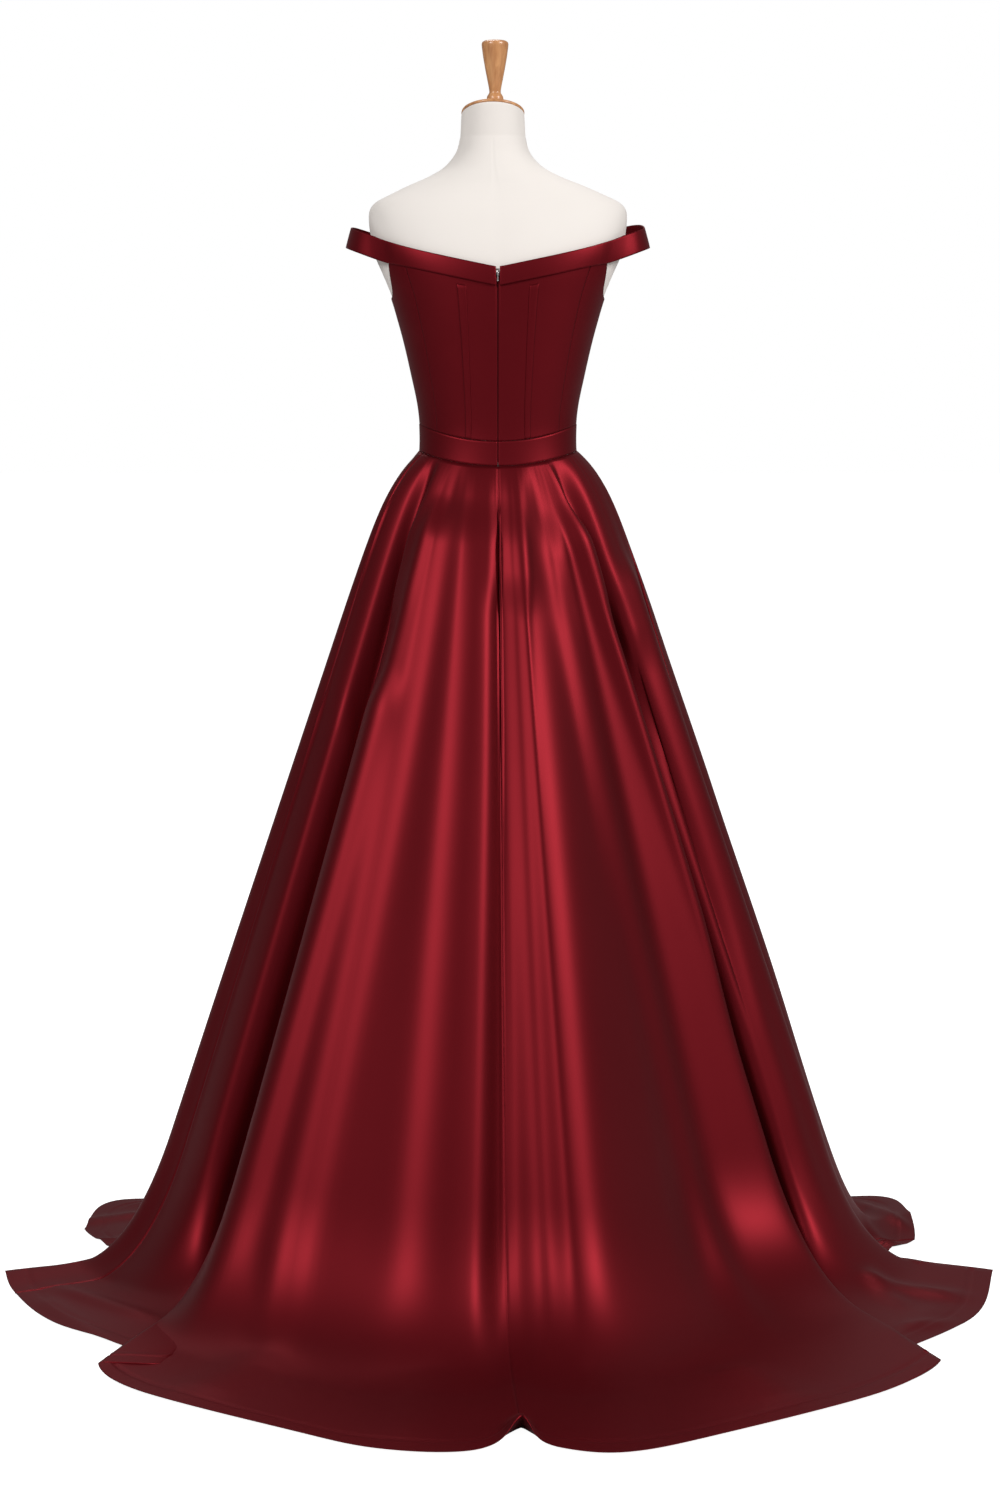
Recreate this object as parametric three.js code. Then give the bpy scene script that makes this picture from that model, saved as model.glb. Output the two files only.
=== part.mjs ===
import * as THREE from 'three';

// Off-the-shoulder satin evening gown with a sweep train, on a limbless dress form.
// Millimetres, +Z up. The origin is the centre of the stand's base on the floor.
// The front faces -Y, the train runs out along +Y, and the wearer's left is +X.

// Driving dimensions
const wall = 2;                // skirt cloth with its hem and facing turned in
const bodiceWall = 1.5;        // bodice cloth
const seamGap = 0.3;           // clearance left between two pieces at a seam
const clothGap = 0.9;          // clearance between the form and the cloth on it
const bandWall = 2.4;          // neckline band, cloth folded double
const waistbandWall = 2;
const zipHalf = 1;             // half the opening at the centre back, where the zip runs
const channelWall = 1;         // boning channel, raised on the panel
const hipEase = 42;            // drop over which the skirt swings clear of the hip
const poleRadius = 14;
const baseRadius = 175;
const baseHeight = 14;
const formFoot = 860;          // underside of the dress form above the floor

const burgundy = 0x6e1820;
const materials = {
  satin: new THREE.MeshStandardMaterial({ color: burgundy, roughness: 0.35, metalness: 0 }),
  linen: new THREE.MeshStandardMaterial({ color: 0xf0e8e2, roughness: 0.9, metalness: 0 }),
  beech: new THREE.MeshStandardMaterial({ color: 0xb9783c, roughness: 0.45, metalness: 0 }),
  metal: new THREE.MeshStandardMaterial({ color: 0xd8d6d2, roughness: 0.3, metalness: 0.9 }),
};

const gown = new THREE.Group();

// Dress form sections from the underside to the top of the neck.
// half: half the width, back and front: depth from the axis, square: roundness of the corners.
const formSections = [
  { z: 860, half: 150, back: 104, front: 82, square: 2.2 },
  { z: 880, half: 161, back: 113, front: 90, square: 2.2 },
  { z: 950, half: 166, back: 116, front: 95, square: 2.2 },
  { z: 1010, half: 155, back: 108, front: 94, square: 2.2 },
  { z: 1070, half: 136, back: 97, front: 91, square: 2.15 },
  { z: 1120, half: 119, back: 88, front: 88, square: 2.1 },
  { z: 1157, half: 110.5, back: 83, front: 86, square: 2.1 },
  { z: 1195, half: 109.5, back: 81, front: 86, square: 2.1 },
  { z: 1228, half: 112.6, back: 83.5, front: 91, square: 2.15 },
  { z: 1271, half: 121.5, back: 89, front: 103, square: 2.2 },
  { z: 1313, half: 131, back: 93, front: 119, square: 2.25 },
  { z: 1345, half: 139.5, back: 97, front: 126, square: 2.3 },
  { z: 1380, half: 150, back: 99, front: 122, square: 2.35 },
  { z: 1413, half: 163.5, back: 99, front: 111, square: 2.4 },
  { z: 1440, half: 175, back: 95, front: 99, square: 2.4 },
  { z: 1470, half: 181, back: 86, front: 82, square: 2.4 },
  { z: 1492, half: 183, back: 77, front: 70, square: 2.35 },
  { z: 1504, half: 181, back: 71, front: 65, square: 2.3 },
  { z: 1514, half: 172, back: 66, front: 61, square: 2.25 },
  { z: 1525.5, half: 149, back: 61, front: 58, square: 2.2 },
  { z: 1537, half: 124, back: 57, front: 56, square: 2.1 },
  { z: 1548, half: 97, back: 54, front: 55, square: 2.05 },
  { z: 1559, half: 75.7, back: 51, front: 54, square: 2 },
  { z: 1570, half: 62.3, back: 48, front: 53, square: 2 },
  { z: 1585, half: 51.5, back: 44, front: 51, square: 2 },
  { z: 1605, half: 46, back: 40, front: 48, square: 2 },
];
const neckLean = { reach: 7, from: 1500, to: 1585 };   // the neck stands a little to the wearer's left
const neckTilt = THREE.MathUtils.degToRad(22);         // its top face slopes down to the front
const neckTop = { z: 1636, radius: 44.5, back: 39, front: 45 };

// One column of a table at a place along its key column, eased between the two nearest rows.
function readTable(rows, key, place, column) {
  const last = rows.length - 1;
  if (place <= rows[0][key]) return rows[0][column];
  if (place >= rows[last][key]) return rows[last][column];
  const i = rows.findIndex((row) => row[key] > place) - 1;
  const span = rows[i + 1][key] - rows[i][key];
  const t = (place - rows[i][key]) / span;
  const before = rows[Math.max(i - 1, 0)];
  const after = rows[Math.min(i + 2, last)];
  const slopeIn = (rows[i + 1][column] - before[column]) / (rows[i + 1][key] - before[key]);
  const slopeOut = (after[column] - rows[i][column]) / (after[key] - rows[i][key]);
  const a = 2 * t ** 3 - 3 * t ** 2 + 1;
  const b = t ** 3 - 2 * t ** 2 + t;
  const c = -2 * t ** 3 + 3 * t ** 2;
  const d = t ** 3 - t ** 2;
  return a * rows[i][column] + b * span * slopeIn + c * rows[i + 1][column] + d * span * slopeOut;
}

// Point on the form at a height and an angle (degrees, 0 at the wearer's left, 90 at the back),
// moved outwards by a distance in the level plane.
function bodyPoint(angle, z, out) {
  const half = readTable(formSections, 'z', z, 'half') + out;
  const front = readTable(formSections, 'z', z, 'front') + out;
  const back = readTable(formSections, 'z', z, 'back') + out;
  const power = 2 / readTable(formSections, 'z', z, 'square');
  const c = Math.cos(THREE.MathUtils.degToRad(angle));
  const s = Math.sin(THREE.MathUtils.degToRad(angle));
  const x = half * Math.sign(c) * Math.abs(c) ** power;
  const depth = s > 0 ? back : front;
  const shift = neckLean.reach * THREE.MathUtils.smoothstep(z, neckLean.from, neckLean.to);
  return new THREE.Vector3(x + shift, depth * Math.sign(s) * Math.abs(s) ** power, z);
}

// A closed solid from a grid of points: rows of equal length, each a closed ring, capped at both ends.
function ringSolid(rings) {
  const count = rings[0].length;
  const points = rings.flat();
  const triangles = [];
  for (let i = 0; i < rings.length - 1; i++) {
    for (let j = 0; j < count; j++) {
      const k = (j + 1) % count;
      const a = i * count + j;
      const b = i * count + k;
      const c = (i + 1) * count + k;
      const d = (i + 1) * count + j;
      triangles.push(a, b, c, a, c, d);
    }
  }
  for (const end of [0, rings.length - 1]) {
    const centre = new THREE.Vector3();
    rings[end].forEach((p) => centre.addScaledVector(p, 1 / count));
    const hub = points.push(centre) - 1;
    for (let j = 0; j < count; j++) {
      const a = end * count + j;
      const b = end * count + (j + 1) % count;
      if (end === 0) triangles.push(hub, b, a);
      else triangles.push(hub, a, b);
    }
  }
  return indexed(points, triangles);
}

// A closed wall between two grids of points, outer and inner, joined round their four edges.
function wallSolid(outer, inner) {
  const rows = outer.length;
  const columns = outer[0].length;
  const points = outer.flat().concat(inner.flat());
  const triangles = [];
  const at = (i, j, side) => side * rows * columns + i * columns + j;
  const quad = (a, b, c, d) => triangles.push(a, b, c, a, c, d);
  for (let i = 0; i < rows - 1; i++) {
    for (let j = 0; j < columns - 1; j++) {
      quad(at(i, j, 0), at(i + 1, j, 0), at(i + 1, j + 1, 0), at(i, j + 1, 0));
      quad(at(i, j, 1), at(i, j + 1, 1), at(i + 1, j + 1, 1), at(i + 1, j, 1));
    }
    quad(at(i, 0, 0), at(i, 0, 1), at(i + 1, 0, 1), at(i + 1, 0, 0));
    quad(at(i, columns - 1, 0), at(i + 1, columns - 1, 0), at(i + 1, columns - 1, 1), at(i, columns - 1, 1));
  }
  for (let j = 0; j < columns - 1; j++) {
    quad(at(0, j, 0), at(0, j + 1, 0), at(0, j + 1, 1), at(0, j, 1));
    quad(at(rows - 1, j, 0), at(rows - 1, j, 1), at(rows - 1, j + 1, 1), at(rows - 1, j + 1, 0));
  }
  return indexed(points, triangles);
}

function indexed(points, triangles) {
  const geometry = new THREE.BufferGeometry().setFromPoints(points);
  geometry.setIndex(triangles);
  geometry.computeVertexNormals();
  return geometry;
}

function add(name, geometry, material) {
  const mesh = new THREE.Mesh(geometry, material);
  mesh.name = name;
  gown.add(mesh);
  return mesh;
}

function lathe(profile, steps) {
  const outline = profile.map(([radius, z]) => new THREE.Vector2(radius, z));
  return new THREE.LatheGeometry(outline, steps).rotateX(Math.PI / 2);
}

// Dress form: body, neck cap, turned finial, pole and base
function formBody() {
  const around = 40;
  const levels = [860, 866, 880, 910, 950, 1000, 1050, 1090, 1125, 1150, 1164, 1178, 1192, 1206, 1220, 1230, 1245,
    1275, 1315, 1350, 1385, 1415, 1445, 1470, 1490, 1502, 1510, 1518, 1527, 1537, 1548, 1559, 1571, 1585, 1603];
  const rings = levels.map((z) => Array.from({ length: around }, (_, j) => bodyPoint(j * 360 / around, z, 0)));
  rings.push(neckRing(around, 0));
  return ringSolid(rings);
}

// Ring round the sloping top of the neck, raised above it along the slope's normal.
function neckRing(around, rise, shrink = 0) {
  return Array.from({ length: around }, (_, j) => {
    const turn = j * 2 * Math.PI / around;
    const depth = Math.sin(turn) > 0 ? neckTop.back : neckTop.front;
    const x = (neckTop.radius - shrink) * Math.cos(turn) + neckLean.reach;
    const y = (depth - shrink) * Math.sin(turn);
    const up = neckTop.z + Math.tan(neckTilt) * y + rise * Math.cos(neckTilt);
    return new THREE.Vector3(x, y - rise * Math.sin(neckTilt), up);
  });
}

// Wooden disc on the sloping neck, with a level boss in its middle for the finial.
const boss = { radius: 17, top: 1649.5, shift: 3 };
function neckCap() {
  const around = 24;
  const disc = [
    { rise: seamGap, shrink: 0.4 },
    { rise: 1.5, shrink: -0.4 },
    { rise: 4, shrink: 0.2 },
    { rise: 5.2, shrink: 3 },
    { rise: 5.6, shrink: 24 },
  ];
  const rings = disc.map(({ rise, shrink }) => neckRing(around, rise, shrink));
  rings.push(rings[disc.length - 1].map((p) => {
    const spoke = new THREE.Vector3(p.x - neckLean.reach, p.y, 0).setLength(boss.radius);
    return spoke.add(new THREE.Vector3(neckLean.reach - boss.shift, 0, boss.top));
  }));
  return ringSolid(rings);
}

// Turned finial: radius and height above the boss.
const finialProfile = [
  [0, 0], [10, 0], [11.3, 1.5], [12, 6], [11.5, 11], [9.7, 14], [8.3, 16], [8, 18.5], [8.8, 24], [10.4, 32],
  [12, 40], [13.6, 48], [15.2, 57], [16.8, 66], [18, 75], [19, 83], [18.3, 86.5], [14.5, 88.8], [8, 89.7], [0, 90],
];

function stand() {
  const baseEdge = 5;
  add('stand_base', lathe([[0, 0], [baseRadius - 1, 0], [baseRadius, 1], [baseRadius, baseHeight - baseEdge],
    [baseRadius - baseEdge, baseHeight], [30, baseHeight + 2], [0, baseHeight + 2]], 32), materials.metal);
  const poleFoot = baseHeight + 2 + seamGap;
  const poleHead = formFoot - seamGap;
  const pole = new THREE.CylinderGeometry(poleRadius, poleRadius, poleHead - poleFoot, 20);
  pole.rotateX(Math.PI / 2).translate(0, 0, (poleHead + poleFoot) / 2);
  add('stand_pole', pole, materials.metal);
}

// Heights of the seams as functions of the angle: level at the sides, dipping at the centre back.
const backness = (angle) => Math.max(0, Math.sin(THREE.MathUtils.degToRad(angle))) ** 2;
const frontness = (angle) => Math.max(0, -Math.sin(THREE.MathUtils.degToRad(angle))) ** 2;
const waistTop = (angle) => 1201 - 22 * backness(angle) - 12 * frontness(angle);
const waistFoot = (angle) => 1164 - 19 * backness(angle) - 11 * frontness(angle);

// Top edge of the bodice, by angle on the left half, from centre back (90) to centre front (-90).
const bodiceTop = [
  { angle: -90, height: 1362 },
  { angle: -70, height: 1384 },
  { angle: -52, height: 1416 },
  { angle: -40, height: 1436 },
  { angle: -33, height: 1430 },
  { angle: -22, height: 1394 },
  { angle: -8, height: 1379 },
  { angle: 4, height: 1378 },
  { angle: 18, height: 1388 },
  { angle: 30, height: 1428 },
  { angle: 38, height: 1436 },
  { angle: 52, height: 1428 },
  { angle: 70, height: 1418 },
  { angle: 90, height: 1407 },
];
const topAt = (angle) => {
  const folded = angle > 90 ? 180 - angle : angle < -90 ? -180 - angle : angle;
  return readTable(bodiceTop, 'angle', folded, 'height');
};

// Bodice panels of the left half: start and end angle at the waist and at the top, and columns across.
const bodicePanels = [
  { name: 'bodice_back', lowFrom: 90, lowTo: 40, highFrom: 90, highTo: 44, columns: 7, atZip: true },
  { name: 'bodice_side_back', lowFrom: 40, lowTo: -4, highFrom: 44, highTo: -4, columns: 7 },
  { name: 'bodice_side_front', lowFrom: -4, lowTo: -58, highFrom: -4, highTo: -60, columns: 8 },
];
const bodiceRows = 9;

// Angles and heights of one panel, as a grid from the waist (row 0) to the top edge.
function panelPlaces(panel) {
  const places = [];
  for (let i = 0; i <= bodiceRows; i++) {
    const up = i / bodiceRows;
    const from = THREE.MathUtils.lerp(panel.lowFrom, panel.highFrom, up);
    const to = THREE.MathUtils.lerp(panel.lowTo, panel.highTo, up);
    const inset = seamInset(from, to);
    const row = [];
    for (let j = 0; j <= panel.columns; j++) {
      const angle = THREE.MathUtils.lerp(from - inset, to + inset, j / panel.columns);
      const low = waistTop(angle) + seamGap;
      row.push({ angle, z: THREE.MathUtils.lerp(low, topAt(angle), up) });
    }
    places.push(row);
  }
  return places;
}

// Half the seam gap as an angle on the body, which is about 130 mm from the axis.
function seamInset(from, to) {
  const bodyReach = 130;
  return Math.sign(from - to) * THREE.MathUtils.radToDeg(seamGap / 2 / bodyReach) * 1.6;
}

function mirrored(geometry) {
  const copy = geometry.clone();
  copy.scale(-1, 1, 1);
  const order = copy.index.array;
  for (let i = 0; i < order.length; i += 3) [order[i], order[i + 1]] = [order[i + 1], order[i]];
  copy.computeVertexNormals();
  return copy;
}

function panelSolid(panel, low, high) {
  const places = panelPlaces(panel);
  const grid = (out) => places.map((row) => row.map(({ angle, z }) => {
    const p = bodyPoint(angle, z, out);
    return panel.atZip ? p.setX(Math.max(p.x, zipHalf)) : p;
  }));
  const outer = grid(high).map((row) => row.reverse());
  const inner = grid(low).map((row) => row.reverse());
  return wallSolid(outer.reverse(), inner.reverse());
}

function bodice() {
  for (const panel of bodicePanels) {
    const solid = panelSolid(panel, clothGap, clothGap + bodiceWall);
    add(`${panel.name}_left`, solid, materials.satin);
    add(`${panel.name}_right`, mirrored(solid), materials.satin);
  }
  const centre = { lowFrom: -58, lowTo: -122, highFrom: -60, highTo: -120, columns: 10 };
  add('bodice_front', panelSolid(centre, clothGap, clothGap + bodiceWall), materials.satin);
}

// Boning channels: narrow strips on the back panels, from the waistband to just under the neckline band.
const channel = { low: 69, high: 75, halfTurn: 2.4, topClear: 18, columns: 2 };
function boningChannels() {
  const rows = 8;
  const grid = (out) => Array.from({ length: rows + 1 }, (_, i) => {
    const up = 1 - i / rows;
    const middle = THREE.MathUtils.lerp(channel.low, channel.high, up);
    return Array.from({ length: channel.columns + 1 }, (_, j) => {
      const angle = middle - channel.halfTurn + 2 * channel.halfTurn * j / channel.columns;
      const z = THREE.MathUtils.lerp(waistTop(angle) + 1, topAt(angle) - channel.topClear, up);
      return bodyPoint(angle, z, out);
    });
  });
  const foot = clothGap + bodiceWall + seamGap;
  const strip = wallSolid(grid(foot + channelWall), grid(foot));
  add('boning_channel_left', strip, materials.satin);
  add('boning_channel_right', mirrored(strip), materials.satin);
}

// Waistband: one strip round the waist, open at the centre back.
function waistband() {
  const columns = 48;
  const rows = 2;
  const grid = (out) => Array.from({ length: rows + 1 }, (_, i) => {
    return Array.from({ length: columns + 1 }, (_, j) => {
      const angle = 90 + 360 * j / columns;
      const p = bodyPoint(angle, THREE.MathUtils.lerp(waistTop(angle), waistFoot(angle), i / rows), out);
      if (j === 0) p.x = -zipHalf;
      if (j === columns) p.x = zipHalf;
      return p;
    });
  });
  const foot = clothGap;
  add('waistband', wallSolid(grid(foot + waistbandWall), grid(foot)), materials.satin);
}

// Neckline band, left half, from centre front (-90) to centre back: height of its middle, width, how far
// it stands off the panels, and lean, how far its top edge stands further in than its foot.
const bandSeat = clothGap + bodiceWall + 0.6;
const bandPath = [
  { angle: -90, middle: 1358, width: 31, off: 0, lean: 0 },
  { angle: -80, middle: 1374, width: 31, off: 0, lean: 0 },
  { angle: -68, middle: 1395, width: 32, off: 0, lean: 0 },
  { angle: -58, middle: 1414, width: 32, off: 0, lean: 0 },
  { angle: -48, middle: 1431, width: 33, off: 0, lean: 0 },
  { angle: -38, middle: 1445, width: 33, off: 0.5, lean: 1 },
  { angle: -30, middle: 1453, width: 32, off: 6, lean: 3 },
  { angle: -20, middle: 1461, width: 30, off: 17, lean: 7 },
  { angle: -10, middle: 1465, width: 29, off: 25, lean: 11 },
  { angle: 0, middle: 1464, width: 28, off: 27, lean: 12 },
  { angle: 12, middle: 1458, width: 30, off: 18, lean: 9 },
  { angle: 22, middle: 1450, width: 33, off: 6, lean: 4 },
  { angle: 31, middle: 1443.5, width: 33, off: 0.5, lean: 1 },
  { angle: 40, middle: 1439.5, width: 31, off: 0, lean: 0 },
  { angle: 50, middle: 1434.5, width: 29, off: 0, lean: 0 },
  { angle: 62, middle: 1427.5, width: 28, off: 0, lean: 0 },
  { angle: 75, middle: 1419.5, width: 27, off: 0, lean: 0 },
  { angle: 83, middle: 1414, width: 26.5, off: 0, lean: 0 },
  { angle: 90, middle: 1408.5, width: 26, off: 0, lean: 0 },
];
const bandEnds = { front: 0.2, back: 3 };    // distance of each half's ends from the middle plane
const bandSteps = 44;
const bandRows = 2;

function bandHalf(raise) {
  const grid = (out) => Array.from({ length: bandRows + 1 }, (_, i) => {
    return Array.from({ length: bandSteps + 1 }, (_, j) => {
      const angle = THREE.MathUtils.lerp(90, -90, j / bandSteps);
      const [middle, width, off, lean] = ['middle', 'width', 'off', 'lean'].map((column) => {
        return readTable(bandPath, 'angle', angle, column);
      });
      const lifted = raise * Math.sin(Math.PI * THREE.MathUtils.clamp((-angle - 2) / 70, 0, 1));
      const up = 0.5 - i / bandRows;
      const p = bodyPoint(angle, middle + lifted + up * width, bandSeat + off - up * lean + out);
      return p.setX(Math.max(p.x, angle > 0 ? bandEnds.back : bandEnds.front));
    });
  });
  return wallSolid(grid(bandWall).map((row) => row.reverse()), grid(0).map((row) => row.reverse()));
}

function necklineBand() {
  const frontRaise = 10;         // the right front stands a little higher than the left
  add('neckline_band_left', bandHalf(0), materials.satin);
  add('neckline_band_right', mirrored(bandHalf(frontRaise)), materials.satin);
}

// Zip slider at the top of the centre back opening, and the tab that hangs from it
const slider = { width: 4, depth: 4, height: 8, y: 101.7, z: 1412 };
const tab = { width: 2.4, thick: 0.8, length: 12.6, ring: 0.7, clear: 0.6 };
const pivotHeight = slider.z + 1;   // the tab turns about X here
function zip() {
  const body = new THREE.BoxGeometry(slider.width, slider.depth, slider.height);
  add('zip_slider', body, materials.metal).position.set(0, slider.y, slider.z);
  const pull = new THREE.BoxGeometry(tab.width, tab.thick, tab.length);
  const y = slider.y + slider.depth / 2 + tab.clear + tab.thick / 2;
  add('zip_pull', pull, materials.metal).position.set(0, y, pivotHeight + tab.ring - tab.length / 2);
}

// Skirt: fold lines from the waist seam to the hem, in turn round the body.
// waist: angle at the waist seam; hip: how far it swings out below the seam; knee: where the cloth
// meets the floor; hem: its edge on the floor; lift: height of the cloth's face there; steps: columns
// of the wall up to the next line.
const skirtLines = [
  { name: 'centre_back', waist: 90, hip: 12, kneeX: -12, kneeY: 520, hemX: -30, hemY: 838, lift: 4, steps: 2 },
  { name: 'left_crest', waist: 84, hip: 16, kneeX: 40, kneeY: 560, hemX: 33, hemY: 900, lift: 3, steps: 3 },
  { name: 'left_panel', waist: 74, hip: 18, kneeX: 146, kneeY: 552, hemX: 141, hemY: 893, lift: 3, steps: 3 },
  { name: 'left_hollow', waist: 63, hip: 8, kneeX: 300, kneeY: 470, hemX: 253, hemY: 827, lift: 3, steps: 3 },
  { name: 'left_slope', waist: 56, hip: 14, kneeX: 392, kneeY: 421, hemX: 452, hemY: 694, lift: 5, steps: 3 },
  { name: 'left_ridge', waist: 49, hip: 20, kneeX: 408, kneeY: 288, hemX: 512, hemY: 618, lift: 9, steps: 2 },
  { name: 'left_valley', waist: 41, hip: 6, kneeX: 394, kneeY: 218, hemX: 478, hemY: 560, lift: 2, steps: 3 },
  { name: 'left_second', waist: 32, hip: 22, kneeX: 460, kneeY: 232, hemX: 597, hemY: 403, lift: 2, steps: 3 },
  { name: 'left_side', waist: 20, hip: 34, kneeX: 502, kneeY: 165, hemX: 672, hemY: 268, lift: 3, steps: 2 },
  { name: 'left_corner', waist: 12, hip: 35, kneeX: 530, kneeY: 120, hemX: 699, hemY: 187, lift: 8, steps: 2 },
  { name: 'left_under', waist: 4, hip: 22, kneeX: 512, kneeY: 60, hemX: 604, hemY: 85, lift: 2, steps: 3 },
  { name: 'left_third', waist: -8, hip: 24, kneeX: 505, kneeY: -20, hemX: 618, hemY: -50, lift: 4, steps: 3 },
  { name: 'left_fore', waist: -24, hip: 22, kneeX: 470, kneeY: -110, hemX: 590, hemY: -215, lift: 3, steps: 3 },
  { name: 'fore_valley_a', waist: -38, hip: 6, kneeX: 375, kneeY: -215, hemX: 392, hemY: -228, lift: 2, steps: 3 },
  { name: 'fore_ridge_a', waist: -50, hip: 20, kneeX: 330, kneeY: -335, hemX: 345, hemY: -352, lift: 2, steps: 3 },
  { name: 'fore_valley_b', waist: -63, hip: 6, kneeX: 205, kneeY: -368, hemX: 210, hemY: -378, lift: 2, steps: 3 },
  { name: 'fore_ridge_b', waist: -75, hip: 19, kneeX: 125, kneeY: -450, hemX: 130, hemY: -466, lift: 2, steps: 3 },
  { name: 'centre_front', waist: -91, hip: 8, kneeX: -8, kneeY: -418, hemX: -8, hemY: -430, lift: 2, steps: 3 },
  { name: 'fore_ridge_c', waist: -105, hip: 20, kneeX: -138, kneeY: -446, hemX: -143, hemY: -462, lift: 2, steps: 3 },
  { name: 'fore_valley_c', waist: -118, hip: 6, kneeX: -222, kneeY: -358, hemX: -230, hemY: -369, lift: 2, steps: 3 },
  { name: 'fore_ridge_d', waist: -131, hip: 20, kneeX: -338, kneeY: -322, hemX: -354, hemY: -338, lift: 2, steps: 3 },
  { name: 'fore_valley_d', waist: -144, hip: 6, kneeX: -385, kneeY: -205, hemX: -404, hemY: -217, lift: 2, steps: 3 },
  { name: 'right_fore', waist: -158, hip: 26, kneeX: -480, kneeY: -125, hemX: -590, hemY: -240, lift: 3, steps: 3 },
  { name: 'right_third', waist: -174, hip: 34, kneeX: -528, kneeY: -40, hemX: -624, hemY: -115, lift: 12, steps: 3 },
  { name: 'right_side', waist: -184, hip: 34, kneeX: -512, kneeY: 30, hemX: -616, hemY: 0, lift: 3, steps: 2 },
  { name: 'right_under', waist: -193, hip: 30, kneeX: -498, kneeY: 75, hemX: -606, hemY: 82, lift: 2, steps: 2 },
  { name: 'right_corner', waist: -205, hip: 24, kneeX: -522, kneeY: 118, hemX: -703, hemY: 182, lift: 8, steps: 3 },
  { name: 'right_second', waist: -216, hip: 20, kneeX: -474, kneeY: 200, hemX: -650, hemY: 370, lift: 3, steps: 3 },
  { name: 'right_valley', waist: -228, hip: 5, kneeX: -408, kneeY: 172, hemX: -561, hemY: 540, lift: 2, steps: 2 },
  { name: 'right_ridge', waist: -235, hip: 18, kneeX: -434, kneeY: 223, hemX: -570, hemY: 604, lift: 9, steps: 3 },
  { name: 'right_slope', waist: -241, hip: 10, kneeX: -313, kneeY: 296, hemX: -480, hemY: 702, lift: 5, steps: 3 },
  { name: 'right_hollow', waist: -248, hip: 5, kneeX: -248, kneeY: 418, hemX: -270, hemY: 842, lift: 3, steps: 3 },
  { name: 'right_panel', waist: -257, hip: 15, kneeX: -131, kneeY: 558, hemX: -155, hemY: 905, lift: 3, steps: 3 },
  { name: 'right_crest', waist: -264, hip: 15, kneeX: -67, kneeY: 546, hemX: -76, hemY: 892, lift: 4, steps: 2 },
];
const lineRows = 20;
const kneeShare = 0.16;        // share of the drop that bends into the floor
const floorShare = 0.45;       // share of the floor stretch that belongs to the same bend

const waistSkin = (angle) => bodyPoint(angle, waistFoot(angle) - seamGap, clothGap + wall);

// Place on one fold line: t runs from 0 at the waist to 1 at the hem, even along its length.
function fallPath(line) {
  const top = waistSkin(line.waist);
  const knee = new THREE.Vector3(line.kneeX, line.kneeY, line.lift);
  const hem = new THREE.Vector3(line.hemX, line.hemY, line.lift);
  const bendTop = top.clone().lerp(knee, 1 - kneeShare);
  const bendFoot = knee.clone().lerp(hem, floorShare);
  const bend = new THREE.QuadraticBezierCurve3(bendTop, knee, bendFoot);
  const path = new THREE.CurvePath();
  path.add(new THREE.LineCurve3(top, bendTop));
  path.add(bend);
  path.add(new THREE.LineCurve3(bendFoot, hem));
  return path;
}

// Cubic through four values, Catmull-Rom.
function spline(a, b, c, d, t) {
  const p = -0.5 * a + 1.5 * b - 1.5 * c + 0.5 * d;
  const q = a - 2.5 * b + 2 * c - 0.5 * d;
  return ((p * t + q) * t + 0.5 * (c - a)) * t + b;
}

// All points of the skirt's face: columns round the body, rows from the waist seam down.
function skirtFace() {
  const count = skirtLines.length;
  const easedRow = (i) => {
    const t = i / lineRows;
    return t - 0.11 * Math.sin(2 * Math.PI * t);
  };
  const lines = skirtLines.map((line) => {
    const path = fallPath(line);
    const start = waistSkin(line.waist);
    return Array.from({ length: lineRows + 1 }, (_, i) => {
      const p = path.getPointAt(easedRow(i));
      const drop = start.z - p.z;
      const swing = line.hip * (1 - Math.exp(-drop / hipEase)) * Math.max(0, 1 - drop / start.z);
      const outward = new THREE.Vector3(line.kneeX, line.kneeY, 0).normalize();
      return p.addScaledVector(outward, swing).sub(start);
    });
  });
  const columns = [];
  skirtLines.forEach((line, k) => {
    const around = [-1, 0, 1, 2].map((shift) => (k + shift + count) % count);
    const angles = [-1, 0, 1, 2].map((shift) => {
      const index = (k + shift + count) % count;
      const lap = Math.floor((k + shift) / count);
      return skirtLines[index].waist - 360 * lap;
    });
    for (let step = 0; step < line.steps; step++) {
      const t = step / line.steps;
      const start = waistSkin(spline(...angles, t));
      const column = Array.from({ length: lineRows + 1 }, (_, i) => {
        const [a, b, c, d] = around.map((index) => lines[index][i]);
        const x = start.x + spline(a.x, b.x, c.x, d.x, t);
        const y = start.y + spline(a.y, b.y, c.y, d.y, t);
        const z = start.z + spline(a.z, b.z, c.z, d.z, t);
        return new THREE.Vector3(x, y, Math.max(z, wall));
      });
      columns.push(column);
    }
  });
  return columns;
}

// Inner points of the wall: each face point moved in along the normal of its neighbours.
function innerPoints(columns) {
  const count = columns.length;
  return columns.map((column, j) => column.map((p, i) => {
    const ahead = columns[(j + 1) % count][i];
    const behind = columns[(j - 1 + count) % count][i];
    const above = column[Math.max(i - 1, 0)];
    const below = column[Math.min(i + 1, column.length - 1)];
    const normal = ahead.clone().sub(behind).cross(below.clone().sub(above)).normalize();
    const q = p.clone().addScaledVector(normal, -wall);
    q.z = i === 0 ? p.z : Math.max(q.z, 0);
    return q;
  }));
}

function lineColumn(name) {
  const k = skirtLines.findIndex((line) => line.name === name);
  return skirtLines.slice(0, k).reduce((sum, line) => sum + line.steps, 0);
}

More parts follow.
